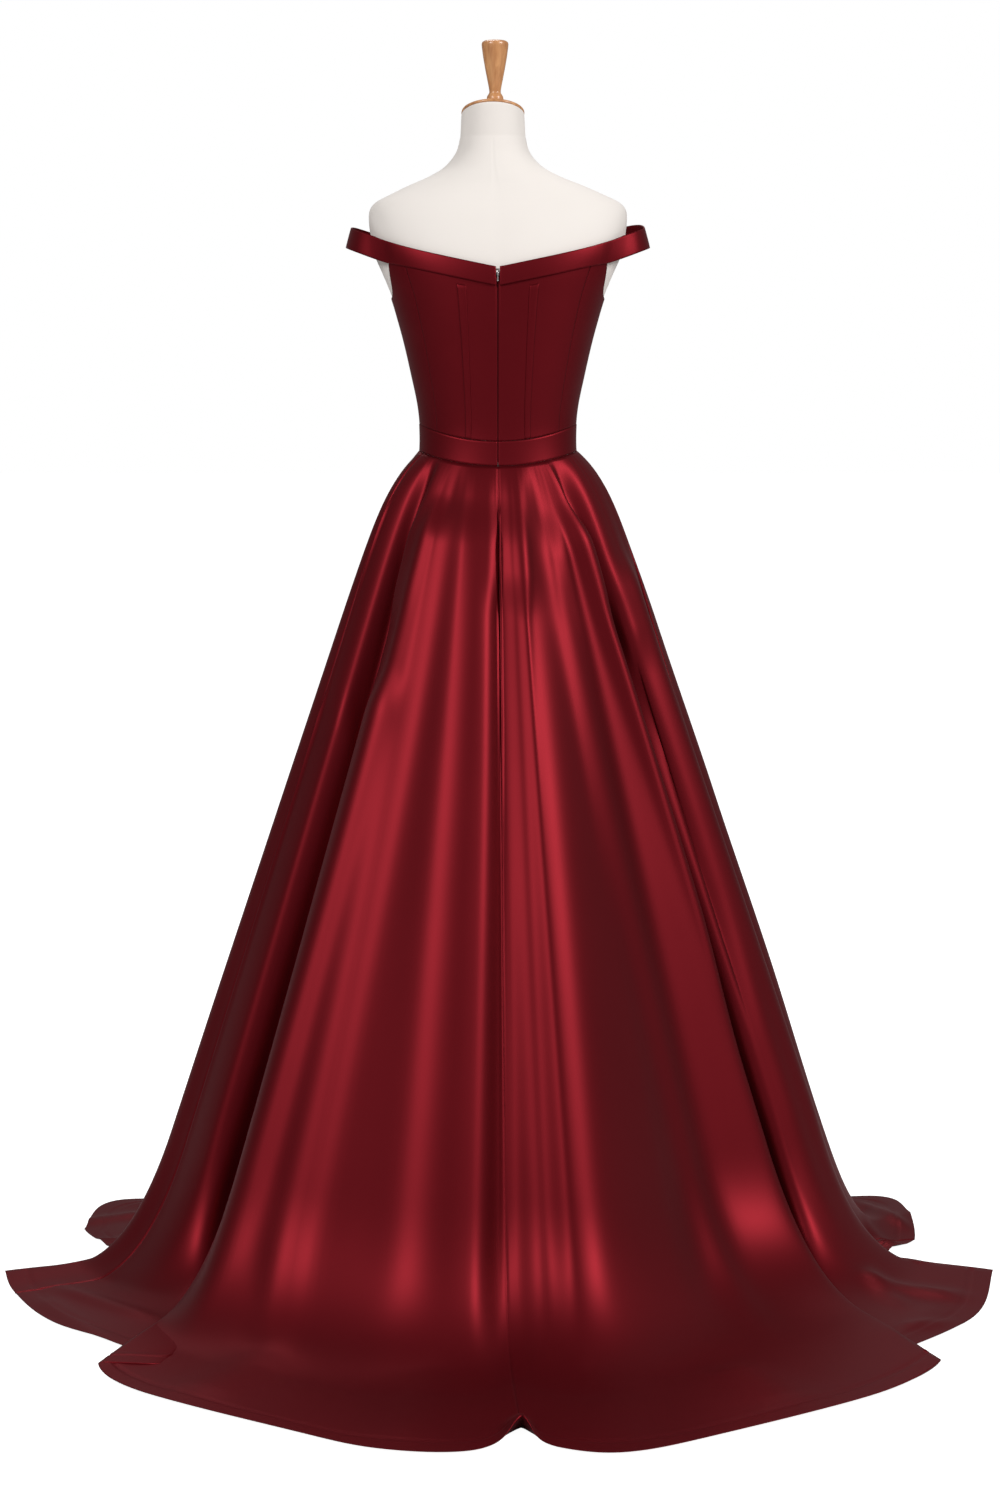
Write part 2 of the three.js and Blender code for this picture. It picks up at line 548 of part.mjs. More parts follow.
function skirt() {
  const face = skirtFace();
  const lining = innerPoints(face);
  const count = face.length;
  const leftSeam = lineColumn('left_side');
  const rightSeam = lineColumn('right_side');
  const panels = [
    { name: 'skirt_back_left', from: 0, to: leftSeam },
    { name: 'skirt_front', from: leftSeam, to: rightSeam },
    { name: 'skirt_back_right', from: rightSeam, to: count },
  ];
  for (const { name, from, to } of panels) {
    const indices = Array.from({ length: to - from + 1 }, (_, j) => (from + j) % count);
    const outer = openSeam(indices.map((j) => face[j]));
    const inner = openSeam(indices.map((j) => lining[j]));
    const turned = (grid) => grid[0].map((_, row) => grid.map((column) => column[row]).reverse());
    add(name, wallSolid(turned(outer), turned(inner)), materials.satin);
  }
}

// The first and last column of a panel drawn in by half the seam gap.
function openSeam(columns) {
  const drawn = (edge, next) => edge.map((p, i) => {
    const way = next[i].clone().sub(p);
    return p.clone().addScaledVector(way.normalize(), seamGap / 2 + 0.05);
  });
  const last = columns.length - 1;
  const result = columns.slice();
  result[0] = drawn(columns[0], columns[1]);
  result[last] = drawn(columns[last], columns[last - 1]);
  return result;
}

add('form_body', formBody(), materials.linen);
add('neck_cap', neckCap(), materials.beech);
add('finial', lathe(finialProfile, 18), materials.beech)
  .position.set(neckLean.reach - boss.shift, 0, boss.top + seamGap);
stand();
bodice();
boningChannels();
waistband();
necklineBand();
zip();
skirt();

export default gown;
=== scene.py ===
# Burgundy satin evening gown on its dress form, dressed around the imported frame.
# Metres, +Z up. The front faces -Y, the train runs along +Y, the wearer's left is +X.
import math
import bpy
import numpy as np
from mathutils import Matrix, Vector


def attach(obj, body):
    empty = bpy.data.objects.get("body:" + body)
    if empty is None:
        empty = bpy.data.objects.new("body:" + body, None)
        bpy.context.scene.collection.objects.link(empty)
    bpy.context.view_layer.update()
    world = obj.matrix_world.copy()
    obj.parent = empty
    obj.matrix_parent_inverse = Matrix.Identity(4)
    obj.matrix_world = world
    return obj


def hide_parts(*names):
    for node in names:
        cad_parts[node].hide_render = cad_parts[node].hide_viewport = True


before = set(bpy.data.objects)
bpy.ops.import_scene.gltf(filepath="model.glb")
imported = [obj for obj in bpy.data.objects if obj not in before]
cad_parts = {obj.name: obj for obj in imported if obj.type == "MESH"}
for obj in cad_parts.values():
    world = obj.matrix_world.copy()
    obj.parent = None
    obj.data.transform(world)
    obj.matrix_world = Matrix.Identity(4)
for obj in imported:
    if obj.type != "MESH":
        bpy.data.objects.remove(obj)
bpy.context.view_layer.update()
mm = 0.001
gownBody = "gown"
tabBody = "pull_tab"

# Camera: behind the gown at chest height, looking a little down
cameraSettings = dict(distance=4.5, height=1.30, pitch=7.2, aside=-0.003, frameHeight=1500, focalPixels=3131)


def placeCamera(s):
    data = bpy.data.cameras.new("photoCamera")
    data.sensor_fit = "VERTICAL"
    data.sensor_height = 36.0
    data.lens = s["focalPixels"] / s["frameHeight"] * data.sensor_height
    data.clip_end = 60
    camera = bpy.data.objects.new("photoCamera", data)
    bpy.context.scene.collection.objects.link(camera)
    camera.location = (s["aside"], s["distance"], s["height"])
    camera.rotation_euler = (math.radians(90 - s["pitch"]), 0, math.pi)
    bpy.context.scene.camera = camera


placeCamera(cameraSettings)
print("camera placed")


# Mesh helpers: every cloth piece is a grid of points, rows down, columns across
def gridMesh(name, grid, uv=None, wrap=False):
    # faces join grid[i, j], [i, j+1], [i+1, j+1], [i+1, j]; wrap also joins the last column to the first
    rows, columns = grid.shape[:2]
    index = np.arange(rows * columns).reshape(rows, columns)
    right = np.roll(index, -1, axis=1)
    last = columns if wrap else columns - 1
    quads = np.stack([index[:-1, :last], index[1:, :last], right[1:, :last], right[:-1, :last]], axis=-1)
    mesh = bpy.data.meshes.new(name)
    mesh.from_pydata(grid.reshape(-1, 3).tolist(), [], quads.reshape(-1, 4).tolist())
    if uv is not None:
        layer = mesh.uv_layers.new(name="weave")
        loops = np.empty(len(mesh.loops), dtype=np.int32)
        mesh.loops.foreach_get("vertex_index", loops)
        layer.data.foreach_set("uv", uv.reshape(-1, 2)[loops].ravel())
    mesh.shade_smooth()
    mesh.update()
    obj = bpy.data.objects.new(name, mesh)
    bpy.context.scene.collection.objects.link(obj)
    return obj


def clothUv(grid):
    # u is the length along the row from its middle, v the length down the column, both in metres
    across = np.linalg.norm(np.diff(grid, axis=1), axis=2)
    u = np.concatenate([np.zeros((grid.shape[0], 1)), np.cumsum(across, axis=1)], axis=1)
    u -= u[:, -1:] / 2
    down = np.linalg.norm(np.diff(grid, axis=0), axis=2)
    v = np.concatenate([np.zeros((1, grid.shape[1])), np.cumsum(down, axis=0)], axis=0)
    return np.stack([u, -v], axis=-1)


def gridNormals(grid):
    # normal = (step across) x (step down), unit length, outward where columns run clockwise seen from above
    across = np.gradient(grid, axis=1)
    down = np.gradient(grid, axis=0)
    normal = np.cross(across, down)
    return normal / np.maximum(np.linalg.norm(normal, axis=2, keepdims=True), 1e-9)


def smoothstep(x, low, high):
    # 3t^2 - 2t^3, where t runs from 0 at low to 1 at high and is held past both
    t = np.clip((x - low) / (high - low), 0, 1)
    return t * t * (3 - 2 * t)


def readTable(rows, key, place, column):
    # cubic Hermite between rows, slopes from the neighbours, held flat past both ends
    keys = np.array([row[key] for row in rows], dtype=float)
    values = np.array([row[column] for row in rows], dtype=float)
    slopes = np.gradient(values)
    slopes[1:-1] = (values[2:] - values[:-2]) / (keys[2:] - keys[:-2])
    slopes[0] = (values[1] - values[0]) / (keys[1] - keys[0])
    slopes[-1] = (values[-1] - values[-2]) / (keys[-1] - keys[-2])
    x = np.clip(np.asarray(place, dtype=float), keys[0], keys[-1])
    i = np.clip(np.searchsorted(keys, x, side="right") - 1, 0, len(keys) - 2)
    span = keys[i + 1] - keys[i]
    t = (x - keys[i]) / span
    a = 2 * t ** 3 - 3 * t ** 2 + 1
    b = t ** 3 - 2 * t ** 2 + t
    return a * values[i] + b * span * slopes[i] + (1 - a) * values[i + 1] + (t ** 3 - t ** 2) * span * slopes[i + 1]


# Dress form, as in the frame: z, half width, depth behind and before the axis, roundness of the corners
formTable = [
    dict(z=860, half=150, back=104, front=82, square=2.2),
    dict(z=880, half=161, back=113, front=90, square=2.2),
    dict(z=950, half=166, back=116, front=95, square=2.2),
    dict(z=1010, half=155, back=108, front=94, square=2.2),
    dict(z=1070, half=136, back=97, front=91, square=2.15),
    dict(z=1120, half=119, back=88, front=88, square=2.1),
    dict(z=1157, half=110.5, back=83, front=86, square=2.1),
    dict(z=1195, half=109.5, back=81, front=86, square=2.1),
    dict(z=1228, half=112.6, back=83.5, front=91, square=2.15),
    dict(z=1271, half=121.5, back=89, front=103, square=2.2),
    dict(z=1313, half=131, back=93, front=119, square=2.25),
    dict(z=1345, half=139.5, back=97, front=126, square=2.3),
    dict(z=1380, half=150, back=99, front=122, square=2.35),
    dict(z=1413, half=163.5, back=99, front=111, square=2.4),
    dict(z=1440, half=175, back=95, front=99, square=2.4),
    dict(z=1470, half=181, back=86, front=82, square=2.4),
    dict(z=1492, half=183, back=77, front=70, square=2.35),
    dict(z=1504, half=181, back=71, front=65, square=2.3),
    dict(z=1514, half=172, back=66, front=61, square=2.25),
    dict(z=1525.5, half=149, back=61, front=58, square=2.2),
    dict(z=1537, half=124, back=57, front=56, square=2.1),
    dict(z=1548, half=97, back=54, front=55, square=2.05),
    dict(z=1559, half=75.7, back=51, front=54, square=2),
    dict(z=1570, half=62.3, back=48, front=53, square=2),
    dict(z=1585, half=51.5, back=44, front=51, square=2),
    dict(z=1605, half=46, back=40, front=48, square=2),
]
formSettings = dict(lean=7, leanFrom=1500, leanTo=1585, neckTop=1636, neckRadius=44.5, neckBack=39,
                    neckFront=45, tilt=math.radians(22), clothGap=0.9, bodiceWall=1.5)


def bodyPoint(angle, z, out):
    # superellipse |x/half|^square + |y/depth|^square = 1 at each height, grown by out; millimetres in and out
    angle, z, out = np.broadcast_arrays(np.radians(angle), z, out)
    power = 2 / readTable(formTable, "z", z, "square")
    c, s = np.cos(angle), np.sin(angle)
    half = readTable(formTable, "z", z, "half") + out
    back = readTable(formTable, "z", z, "back") + out
    front = readTable(formTable, "z", z, "front") + out
    shift = formSettings["lean"] * smoothstep(z, formSettings["leanFrom"], formSettings["leanTo"])
    x = half * np.sign(c) * np.abs(c) ** power + shift
    y = np.where(s > 0, back, front) * np.sign(s) * np.abs(s) ** power
    return np.stack([x, y, z + 0.0 * x], axis=-1)


# Skirt fold lines, as in the frame. waist: angle at the waist seam, hip: swing below it, knee: where the
# cloth meets the floor, hem: its edge, lift: height of its face there
skirtLines = [
    dict(name="centre_back", waist=90, hip=12, kneeX=-12, kneeY=520, hemX=-30, hemY=838, lift=4),
    dict(name="left_crest", waist=84, hip=16, kneeX=40, kneeY=560, hemX=33, hemY=900, lift=3),
    dict(name="left_panel", waist=74, hip=18, kneeX=146, kneeY=552, hemX=141, hemY=893, lift=3),
    dict(name="left_hollow", waist=63, hip=8, kneeX=300, kneeY=470, hemX=253, hemY=827, lift=3),
    dict(name="left_slope", waist=56, hip=14, kneeX=392, kneeY=421, hemX=452, hemY=694, lift=5),
    dict(name="left_ridge", waist=49, hip=20, kneeX=408, kneeY=288, hemX=512, hemY=618, lift=9),
    dict(name="left_valley", waist=41, hip=6, kneeX=394, kneeY=218, hemX=478, hemY=560, lift=2),
    dict(name="left_second", waist=32, hip=22, kneeX=460, kneeY=232, hemX=597, hemY=403, lift=2),
    dict(name="left_side", waist=20, hip=34, kneeX=502, kneeY=165, hemX=672, hemY=268, lift=3),
    dict(name="left_corner", waist=12, hip=35, kneeX=530, kneeY=120, hemX=699, hemY=187, lift=8),
    dict(name="left_under", waist=4, hip=22, kneeX=512, kneeY=60, hemX=604, hemY=85, lift=2),
    dict(name="left_third", waist=-8, hip=24, kneeX=505, kneeY=-20, hemX=618, hemY=-50, lift=4),
    dict(name="left_fore", waist=-24, hip=22, kneeX=470, kneeY=-110, hemX=590, hemY=-215, lift=3),
    dict(name="fore_valley_a", waist=-38, hip=6, kneeX=375, kneeY=-215, hemX=392, hemY=-228, lift=2),
    dict(name="fore_ridge_a", waist=-50, hip=20, kneeX=330, kneeY=-335, hemX=345, hemY=-352, lift=2),
    dict(name="fore_valley_b", waist=-63, hip=6, kneeX=205, kneeY=-368, hemX=210, hemY=-378, lift=2),
    dict(name="fore_ridge_b", waist=-75, hip=19, kneeX=125, kneeY=-450, hemX=130, hemY=-466, lift=2),
    dict(name="centre_front", waist=-91, hip=8, kneeX=-8, kneeY=-418, hemX=-8, hemY=-430, lift=2),
    dict(name="fore_ridge_c", waist=-105, hip=20, kneeX=-138, kneeY=-446, hemX=-143, hemY=-462, lift=2),
    dict(name="fore_valley_c", waist=-118, hip=6, kneeX=-222, kneeY=-358, hemX=-230, hemY=-369, lift=2),
    dict(name="fore_ridge_d", waist=-131, hip=20, kneeX=-338, kneeY=-322, hemX=-354, hemY=-338, lift=2),
    dict(name="fore_valley_d", waist=-144, hip=6, kneeX=-385, kneeY=-205, hemX=-404, hemY=-217, lift=2),
    dict(name="right_fore", waist=-158, hip=26, kneeX=-480, kneeY=-125, hemX=-590, hemY=-240, lift=3),
    dict(name="right_third", waist=-174, hip=34, kneeX=-528, kneeY=-40, hemX=-624, hemY=-115, lift=12),
    dict(name="right_side", waist=-184, hip=34, kneeX=-512, kneeY=30, hemX=-616, hemY=0, lift=3),
    dict(name="right_under", waist=-193, hip=30, kneeX=-498, kneeY=75, hemX=-606, hemY=82, lift=2),
    dict(name="right_corner", waist=-205, hip=24, kneeX=-522, kneeY=118, hemX=-703, hemY=182, lift=8),
    dict(name="right_second", waist=-216, hip=20, kneeX=-474, kneeY=200, hemX=-650, hemY=370, lift=3),
    dict(name="right_valley", waist=-228, hip=5, kneeX=-408, kneeY=172, hemX=-561, hemY=540, lift=2),
    dict(name="right_ridge", waist=-235, hip=18, kneeX=-434, kneeY=223, hemX=-570, hemY=604, lift=9),
    dict(name="right_slope", waist=-241, hip=10, kneeX=-313, kneeY=296, hemX=-480, hemY=702, lift=5),
    dict(name="right_hollow", waist=-248, hip=5, kneeX=-248, kneeY=418, hemX=-270, hemY=842, lift=3),
    dict(name="right_panel", waist=-257, hip=15, kneeX=-131, kneeY=558, hemX=-155, hemY=905, lift=3),
    dict(name="right_crest", waist=-264, hip=15, kneeX=-67, kneeY=546, hemX=-76, hemY=892, lift=4),
]
skirtSettings = dict(wall=2, hipEase=42, kneeShare=0.16, floorShare=0.45, rows=168, hemRows=22,
                     columnsPerLine=12, seamGap=0.3, rowEase=0.07, hemTurn=0.978, hemDip=1.1, pucker=0.5,
                     gather=0.12, gatherReach=0.045, seamDip=1.3, facingFoot=0.6,
                     notchRise=22, notchHalf=0.3, notchFrom=0.95, seamReach=1.6, pathSteps=200,
                     tuckFrom=0.72, tuckTo=0.95, cornerFrom=0.8, cornerTo=0.97)

# Heights of the waistband's edges at the sides, and how far each dips at the back and at the front
waistEdges = dict(top=1201, topBackDip=22, topFrontDip=12, foot=1164, footBackDip=19, footFrontDip=11)


def dippedHeight(angle, level, backDip, frontDip):
    # level - backDip * sin^2 behind, level - frontDip * sin^2 before
    s = np.sin(np.radians(angle))
    return level - backDip * np.maximum(s, 0) ** 2 - frontDip * np.maximum(-s, 0) ** 2


def waistTop(angle):
    return dippedHeight(angle, waistEdges["top"], waistEdges["topBackDip"], waistEdges["topFrontDip"])


def waistFoot(angle):
    return dippedHeight(angle, waistEdges["foot"], waistEdges["footBackDip"], waistEdges["footFrontDip"])


def waistSkin(angle, s):
    return bodyPoint(angle, waistFoot(angle) - s["seamGap"], formSettings["clothGap"] + s["wall"])


def fallPath(line, share, s):
    # straight from the waist, a quadratic bend at the knee, straight to the hem; share runs along its length
    top = waistSkin(line["waist"], s)
    knee = np.array([line["kneeX"], line["kneeY"], line["lift"]], dtype=float)
    hem = np.array([line["hemX"], line["hemY"], line["lift"]], dtype=float)
    bendTop = top + (knee - top) * (1 - s["kneeShare"])
    bendFoot = knee + (hem - knee) * s["floorShare"]
    t = np.linspace(0, 1, s["pathSteps"])[:, None]
    bend = (1 - t) ** 2 * bendTop + 2 * t * (1 - t) * knee + t ** 2 * bendFoot
    path = np.vstack([top, bend, hem])
    length = np.concatenate([[0], np.cumsum(np.linalg.norm(np.diff(path, axis=0), axis=1))])
    p = np.stack([np.interp(share * length[-1], length, path[:, k]) for k in range(3)], axis=-1)
    drop = top[2] - p[:, 2]
    swing = line["hip"] * (1 - np.exp(-drop / s["hipEase"])) * np.maximum(0, 1 - drop / top[2])
    outward = np.array([line["kneeX"], line["kneeY"], 0.0])
    return p + swing[:, None] * outward / np.linalg.norm(outward) - top


def catmullRom(a, b, c, d, t):
    # cubic from b at t = 0 to c at t = 1, with slopes (c - a) / 2 and (d - b) / 2
    return ((((-a + 3 * b - 3 * c + d) * t + (2 * a - 5 * b + 4 * c - d)) * t + (c - a)) * t + 2 * b) / 2


# Where the cloth lies on the floor: corners of the hem, and valleys tucked under the fold beside them (mm)
hemCorners = dict(centre_back=0.9, left_ridge=0.35, left_corner=0.95, left_third=0.8, right_third=0.8,
                  right_side=0.5, right_corner=0.95, right_ridge=0.35)
hemTucks = dict(left_slope=(0, 0, 3), left_ridge=(0, 0, 9), left_valley=(-46, 12, 3.5),
                left_corner=(0, 0, 3), left_under=(-40, 8, 2), right_slope=(0, 0, 3), right_ridge=(0, 0, 9),
                right_valley=(44, 10, 3.5), right_corner=(0, 0, 3), right_under=(36, 6, 2))


def tuckedFalls(share, s):
    # each tuck moves its line by (x, y, z), eased in from the knee to the hem
    ease = smoothstep(share, s["tuckFrom"], s["tuckTo"])[:, None]
    falls = []
    for line in skirtLines:
        fall = fallPath(line, share, s)
        falls.append(fall + ease * np.array(hemTucks.get(line["name"], (0, 0, 0)), dtype=float))
    return np.stack(falls)


def skirtGrid(u, share, s):
    # point = waist skin at the angle of u + a Catmull-Rom blend of the fold lines' falls, u in lines;
    # at a hem corner the blend's tangent turns into the straight line to the next one
    count = len(skirtLines)
    falls = tuckedFalls(share, s)
    k = np.floor(u).astype(int)
    t = u - k
    picks = [(k + shift) % count for shift in (-1, 0, 1, 2)]
    laps = [np.floor((k + shift) / count) for shift in (-1, 0, 1, 2)]
    corner = np.array([hemCorners.get(line["name"], 0.0) for line in skirtLines])
    low = smoothstep(share, s["cornerFrom"], s["cornerTo"])[None, :, None]
    angles = np.array([line["waist"] for line in skirtLines], dtype=float)
    angle = catmullRom(*[angles[p] - 360 * lap for p, lap in zip(picks, laps)], t)
    before, start, end, after = [falls[p] for p in picks]
    before = before + (2 * start - end - before) * corner[picks[1]][:, None, None] * low
    after = after + (2 * end - start - after) * corner[picks[2]][:, None, None] * low
    fall = catmullRom(before, start, end, after, t[:, None, None])
    face = waistSkin(angle, s)[:, None, :] + fall
    face[..., 2] = np.maximum(face[..., 2], s["wall"])
    return face.transpose(1, 0, 2)


def lineIndex(name):
    return [line["name"] for line in skirtLines].index(name)


# Creases on the sides and front of the skirt, one fold line apart: height in mm of the ridge (or
# trough, below zero) at five levels down the cloth
frontCreases = [
    dict(place=10, waist=0, hip=3, thigh=6, calf=8, floor=5),
    dict(place=11, waist=4, hip=5, thigh=-6, calf=-10, floor=-4),
    dict(place=12, waist=-4, hip=-6, thigh=8, calf=12, floor=6),
    dict(place=13, waist=-3, hip=-8, thigh=-12, calf=-10, floor=-4),
    dict(place=14, waist=7, hip=10, thigh=9, calf=14, floor=6),
    dict(place=15, waist=-5, hip=-9, thigh=-5, calf=-12, floor=-4),
    dict(place=16, waist=6, hip=4, thigh=11, calf=10, floor=5),
    dict(place=17, waist=0, hip=-4, thigh=-6, calf=-4, floor=-2),
    dict(place=18, waist=5, hip=8, thigh=6, calf=12, floor=6),
    dict(place=19, waist=-6, hip=-7, thigh=-12, calf=-9, floor=-4),
    dict(place=20, waist=8, hip=9, thigh=12, calf=7, floor=5),
    dict(place=21, waist=-4, hip=-10, thigh=-7, calf=-12, floor=-5),
    dict(place=22, waist=3, hip=6, thigh=-3, calf=6, floor=4),
    dict(place=23, waist=-4, hip=2, thigh=8, calf=10, floor=4),
    dict(place=24, waist=2, hip=-4, thigh=-5, calf=-6, floor=0),
]
creaseLevels = dict(waist=0.06, hip=0.2, thigh=0.4, calf=0.6, floor=0.78)
creaseEnd = 0.93


def creaseHeight(u, share):
    # sum over the rows of a cubic B-spline bump across the cloth, eased from level to level down it
    rows = frontCreases
    names = list(creaseLevels)
    levels = np.array([0.0] + [creaseLevels[name] for name in names] + [creaseEnd])
    step = np.interp(share, levels, np.arange(len(levels)))[:, None] - np.arange(len(levels))[None, :]
    ease = np.maximum(0, 1 - np.abs(step))
    ease = (ease * ease * (3 - 2 * ease))[:, 1:-1]
    table = np.array([[row[name] for row in rows] for name in names], dtype=float)
    place = np.array([row["place"] for row in rows], dtype=float)[:, None]
    count = len(skirtLines)
    x = np.abs((u[None, :] - place + count / 2) % count - count / 2)
    bump = np.where(x < 1, 2 / 3 - x ** 2 + x ** 3 / 2, np.where(x < 2, (2 - x) ** 3 / 6, 0))
    return ease @ table @ bump


# Folds on the back of the skirt: from and to as (place, share of the way down), through a middle
# point. Place 0 is the centre back seam, positive towards the wearer's left. Height in mm and spread in mm
handFolds = [
    # wearer's left: broad panel, then ridges and troughs out to the side
    dict(top=(1.3, 0.03), middle=(1.5, 0.34), foot=(1.7, 0.74), height=8, spread=75),
    dict(top=(3.2, 0.03), middle=(3.1, 0.36), foot=(3.1, 0.78), height=11, spread=34),
    dict(top=(4.0, 0.20), middle=(4.0, 0.48), foot=(4.1, 0.80), height=10, spread=36),
    dict(top=(5.0, 0.12), middle=(5.0, 0.36), foot=(5.1, 0.70), height=-6, spread=28),
    dict(top=(5.9, 0.07), middle=(5.8, 0.16), foot=(5.6, 0.30), height=-3, spread=16),
    dict(top=(6.4, 0.24), middle=(6.5, 0.50), foot=(6.6, 0.78), height=7, spread=28),
    # wearer's right: broad hollow, then ridges and troughs out to the side
    dict(top=(-1.5, 0.10), middle=(-1.6, 0.38), foot=(-1.6, 0.76), height=-9, spread=55),
    dict(top=(-3.4, 0.04), middle=(-3.7, 0.36), foot=(-3.9, 0.76), height=10, spread=32),
    dict(top=(-5.0, 0.03), middle=(-5.2, 0.22), foot=(-5.4, 0.48), height=10, spread=24),
    dict(top=(-6.0, 0.12), middle=(-6.6, 0.24), foot=(-7.1, 0.52), height=-8, spread=24),
    dict(top=(-7.0, 0.18), middle=(-7.0, 0.40), foot=(-7.0, 0.76), height=-8, spread=26),
    dict(top=(-8.1, 0.10), middle=(-8.0, 0.36), foot=(-7.9, 0.76), height=8, spread=26),
]
foldFade = dict(rise=0.05, past=0.1, fall=0.16)


def foldHeight(grid, u, share):
    # Gaussian ridge across the cloth round a bent line, fading towards both ends of it
    count = len(skirtLines)
    perLine = np.linalg.norm(np.diff(grid, axis=1), axis=2)[:, 1:] / np.diff(u, prepend=2 * u[0] - u[1])
    height = np.zeros((len(share), len(u)))
    for fold in handFolds:
        places, shares = zip(fold["top"], fold["middle"], fold["foot"])
        bend = np.polyval(np.polyfit(shares, places, 2), share)
        away = (u[None, :] - bend[:, None] + count / 2) % count - count / 2
        along = smoothstep(share, shares[0], shares[0] + foldFade["rise"])
        along = along * smoothstep(shares[2] + foldFade["past"] - share, 0, foldFade["fall"])
        height += fold["height"] * along[:, None] * np.exp(-(away * perLine / fold["spread"]) ** 2)
    return height


def smallCreases(u, share, s):
    # seeded sines across the cloth: gathers that fade below the waist seam, puckers along the hem stitching
    wave = np.random.default_rng(7)
    count = len(skirtLines)
    turns = wave.integers(25, 90, 9)
    phases = wave.uniform(0, 2 * np.pi, 9)
    gathers = sum(np.sin(2 * np.pi * n * u / count + f) for n, f in zip(turns, phases)) / 5
    down = np.exp(-(share / s["gatherReach"])) * smoothstep(share, 0, 0.006)
    height = s["gather"] * down[:, None] * gathers[None, :]
    turns = wave.integers(260, 520, 7)
    phases = wave.uniform(0, 2 * np.pi, 7)
    puckers = sum(np.sin(2 * np.pi * n * u / count + f) for n, f in zip(turns, phases)) / 4
    line = np.exp(-((share - s["hemTurn"]) / 0.0022) ** 2)[:, None]
    near = np.exp(-((share - s["hemTurn"]) / 0.007) ** 2)[:, None]
    return height - s["hemDip"] * line + s["pucker"] * near * puckers[None, :]


# Soft creases of the train on the floor: from and to in mm, height of the ridge, and how far it spreads
trainCreases = [
    dict(fromX=613, fromY=244, toX=472, toY=381, height=5, spread=16),
    dict(fromX=635, fromY=291, toX=513, toY=489, height=4, spread=20),
    dict(fromX=560, fromY=200, toX=460, toY=300, height=-3, spread=14),
    dict(fromX=622, fromY=-86, toX=545, toY=-141, height=5, spread=14),
    dict(fromX=600, fromY=21, toX=515, toY=-6, height=5, spread=12),
    dict(fromX=612, fromY=60, toX=530, toY=36, height=4, spread=9),
    dict(fromX=-496, fromY=220, toX=-640, toY=291, height=7, spread=18),
    dict(fromX=-540, fromY=425, toX=-610, toY=403, height=4, spread=16),
    dict(fromX=-487, fromY=120, toX=-560, toY=330, height=5, spread=16),
    dict(fromX=-600, fromY=330, toX=-520, toY=500, height=3, spread=22),
    dict(fromX=-530, fromY=-86, toX=-598, toY=108, height=5, spread=12),
    dict(fromX=-558, fromY=-198, toX=-608, toY=-48, height=6, spread=12),
    dict(fromX=-520, fromY=20, toX=-600, toY=40, height=4, spread=9),
    dict(fromX=300, fromY=560, toX=380, toY=700, height=5, spread=40),
    dict(fromX=-300, fromY=590, toX=-370, toY=730, height=5, spread=42),
    dict(fromX=70, fromY=640, toX=110, toY=860, height=4, spread=46),
    dict(fromX=-150, fromY=640, toX=-130, toY=870, height=4, spread=44),
]


def trainHeight(x, y):
    # sum of Gaussian ridges round straight lines on the floor, fading towards both of their ends
    height = np.zeros_like(x)
    for crease in trainCreases:
        alongX = crease["toX"] - crease["fromX"]
        alongY = crease["toY"] - crease["fromY"]
        length = math.hypot(alongX, alongY)
        t = ((x - crease["fromX"]) * alongX + (y - crease["fromY"]) * alongY) / length ** 2
        aside = ((x - crease["fromX"]) * alongY - (y - crease["fromY"]) * alongX) / length
        fade = np.exp(-(np.maximum(0, np.abs(t - 0.5) - 0.3) / 0.22) ** 2)
        height += crease["height"] * fade * np.exp(-(aside / crease["spread"]) ** 2)
    return height


def skirtFace(u, share, s):
    # outer face of the cloth: the fold lines' grid, moved along its own normals by the creases
    padded = np.concatenate([[2 * u[0] - u[1]], u, [2 * u[-1] - u[-2]]])
    grid = skirtGrid(padded, share, s)
    height = creaseHeight(u, share) + foldHeight(grid, u, share) + smallCreases(u, share, s)
    across = np.linalg.norm(grid[:, 1:-1] - grid[:, 1:2], axis=2)
    toEnd = np.linalg.norm(grid[:, 1:-1] - grid[:, -2:-1], axis=2)
    nearSeam = np.exp(-(across / s["seamReach"]) ** 2) + np.exp(-(toEnd / s["seamReach"]) ** 2)
    height = height - s["seamDip"] * nearSeam
    face = grid[:, 1:-1] + height[..., None] * gridNormals(grid)[:, 1:-1]
    train = trainHeight(face[..., 0], face[..., 1]) * smoothstep(30 - face[..., 2], 0, 24)
    face[..., 2] = np.maximum(face[..., 2] + np.maximum(train, 0), s["wall"])
    face[..., 2] = np.maximum(face[..., 2] + np.minimum(train, 0), s["wall"])
    lap = (u + 1) % len(skirtLines) - 1
    notch = np.exp(-(lap / s["notchHalf"]) ** 2)[None, :] * smoothstep(share, s["notchFrom"], 1.0)[:, None]
    face[..., 2] += s["notchRise"] * notch
    return face


# Rows of the cloth turned under at the hem: mm back from its edge, and share of the edge's height kept there
facingRows = [(0.6, 0.85), (4, 0.7), (10, 0.4), (18, 0.1), (30, 0.0)]


def hemFacing(face, s):
    # each row = the hem's edge moved back inwards and down towards the floor
    out = face[-1] - face[-3]
    out[:, 2] = 0
    out = out / np.maximum(np.linalg.norm(out, axis=1, keepdims=True), 1e-6)
    rows = []
    for back, level in facingRows:
        row = face[-1] - out * back
        row[:, 2] = s["facingFoot"] + (face[-1, :, 2] - s["facingFoot"]) * level
        rows.append(row)
    return np.concatenate([face, np.stack(rows)])


# Materials
def newMaterial(name):
    material = bpy.data.materials.new(name)
    material.use_nodes = True
    nodes = material.node_tree.nodes
    nodes.clear()
    shader = nodes.new("ShaderNodeBsdfPrincipled")
    output = nodes.new("ShaderNodeOutputMaterial")
    material.node_tree.links.new(shader.outputs[0], output.inputs[0])
    return material, nodes, material.node_tree.links, shader


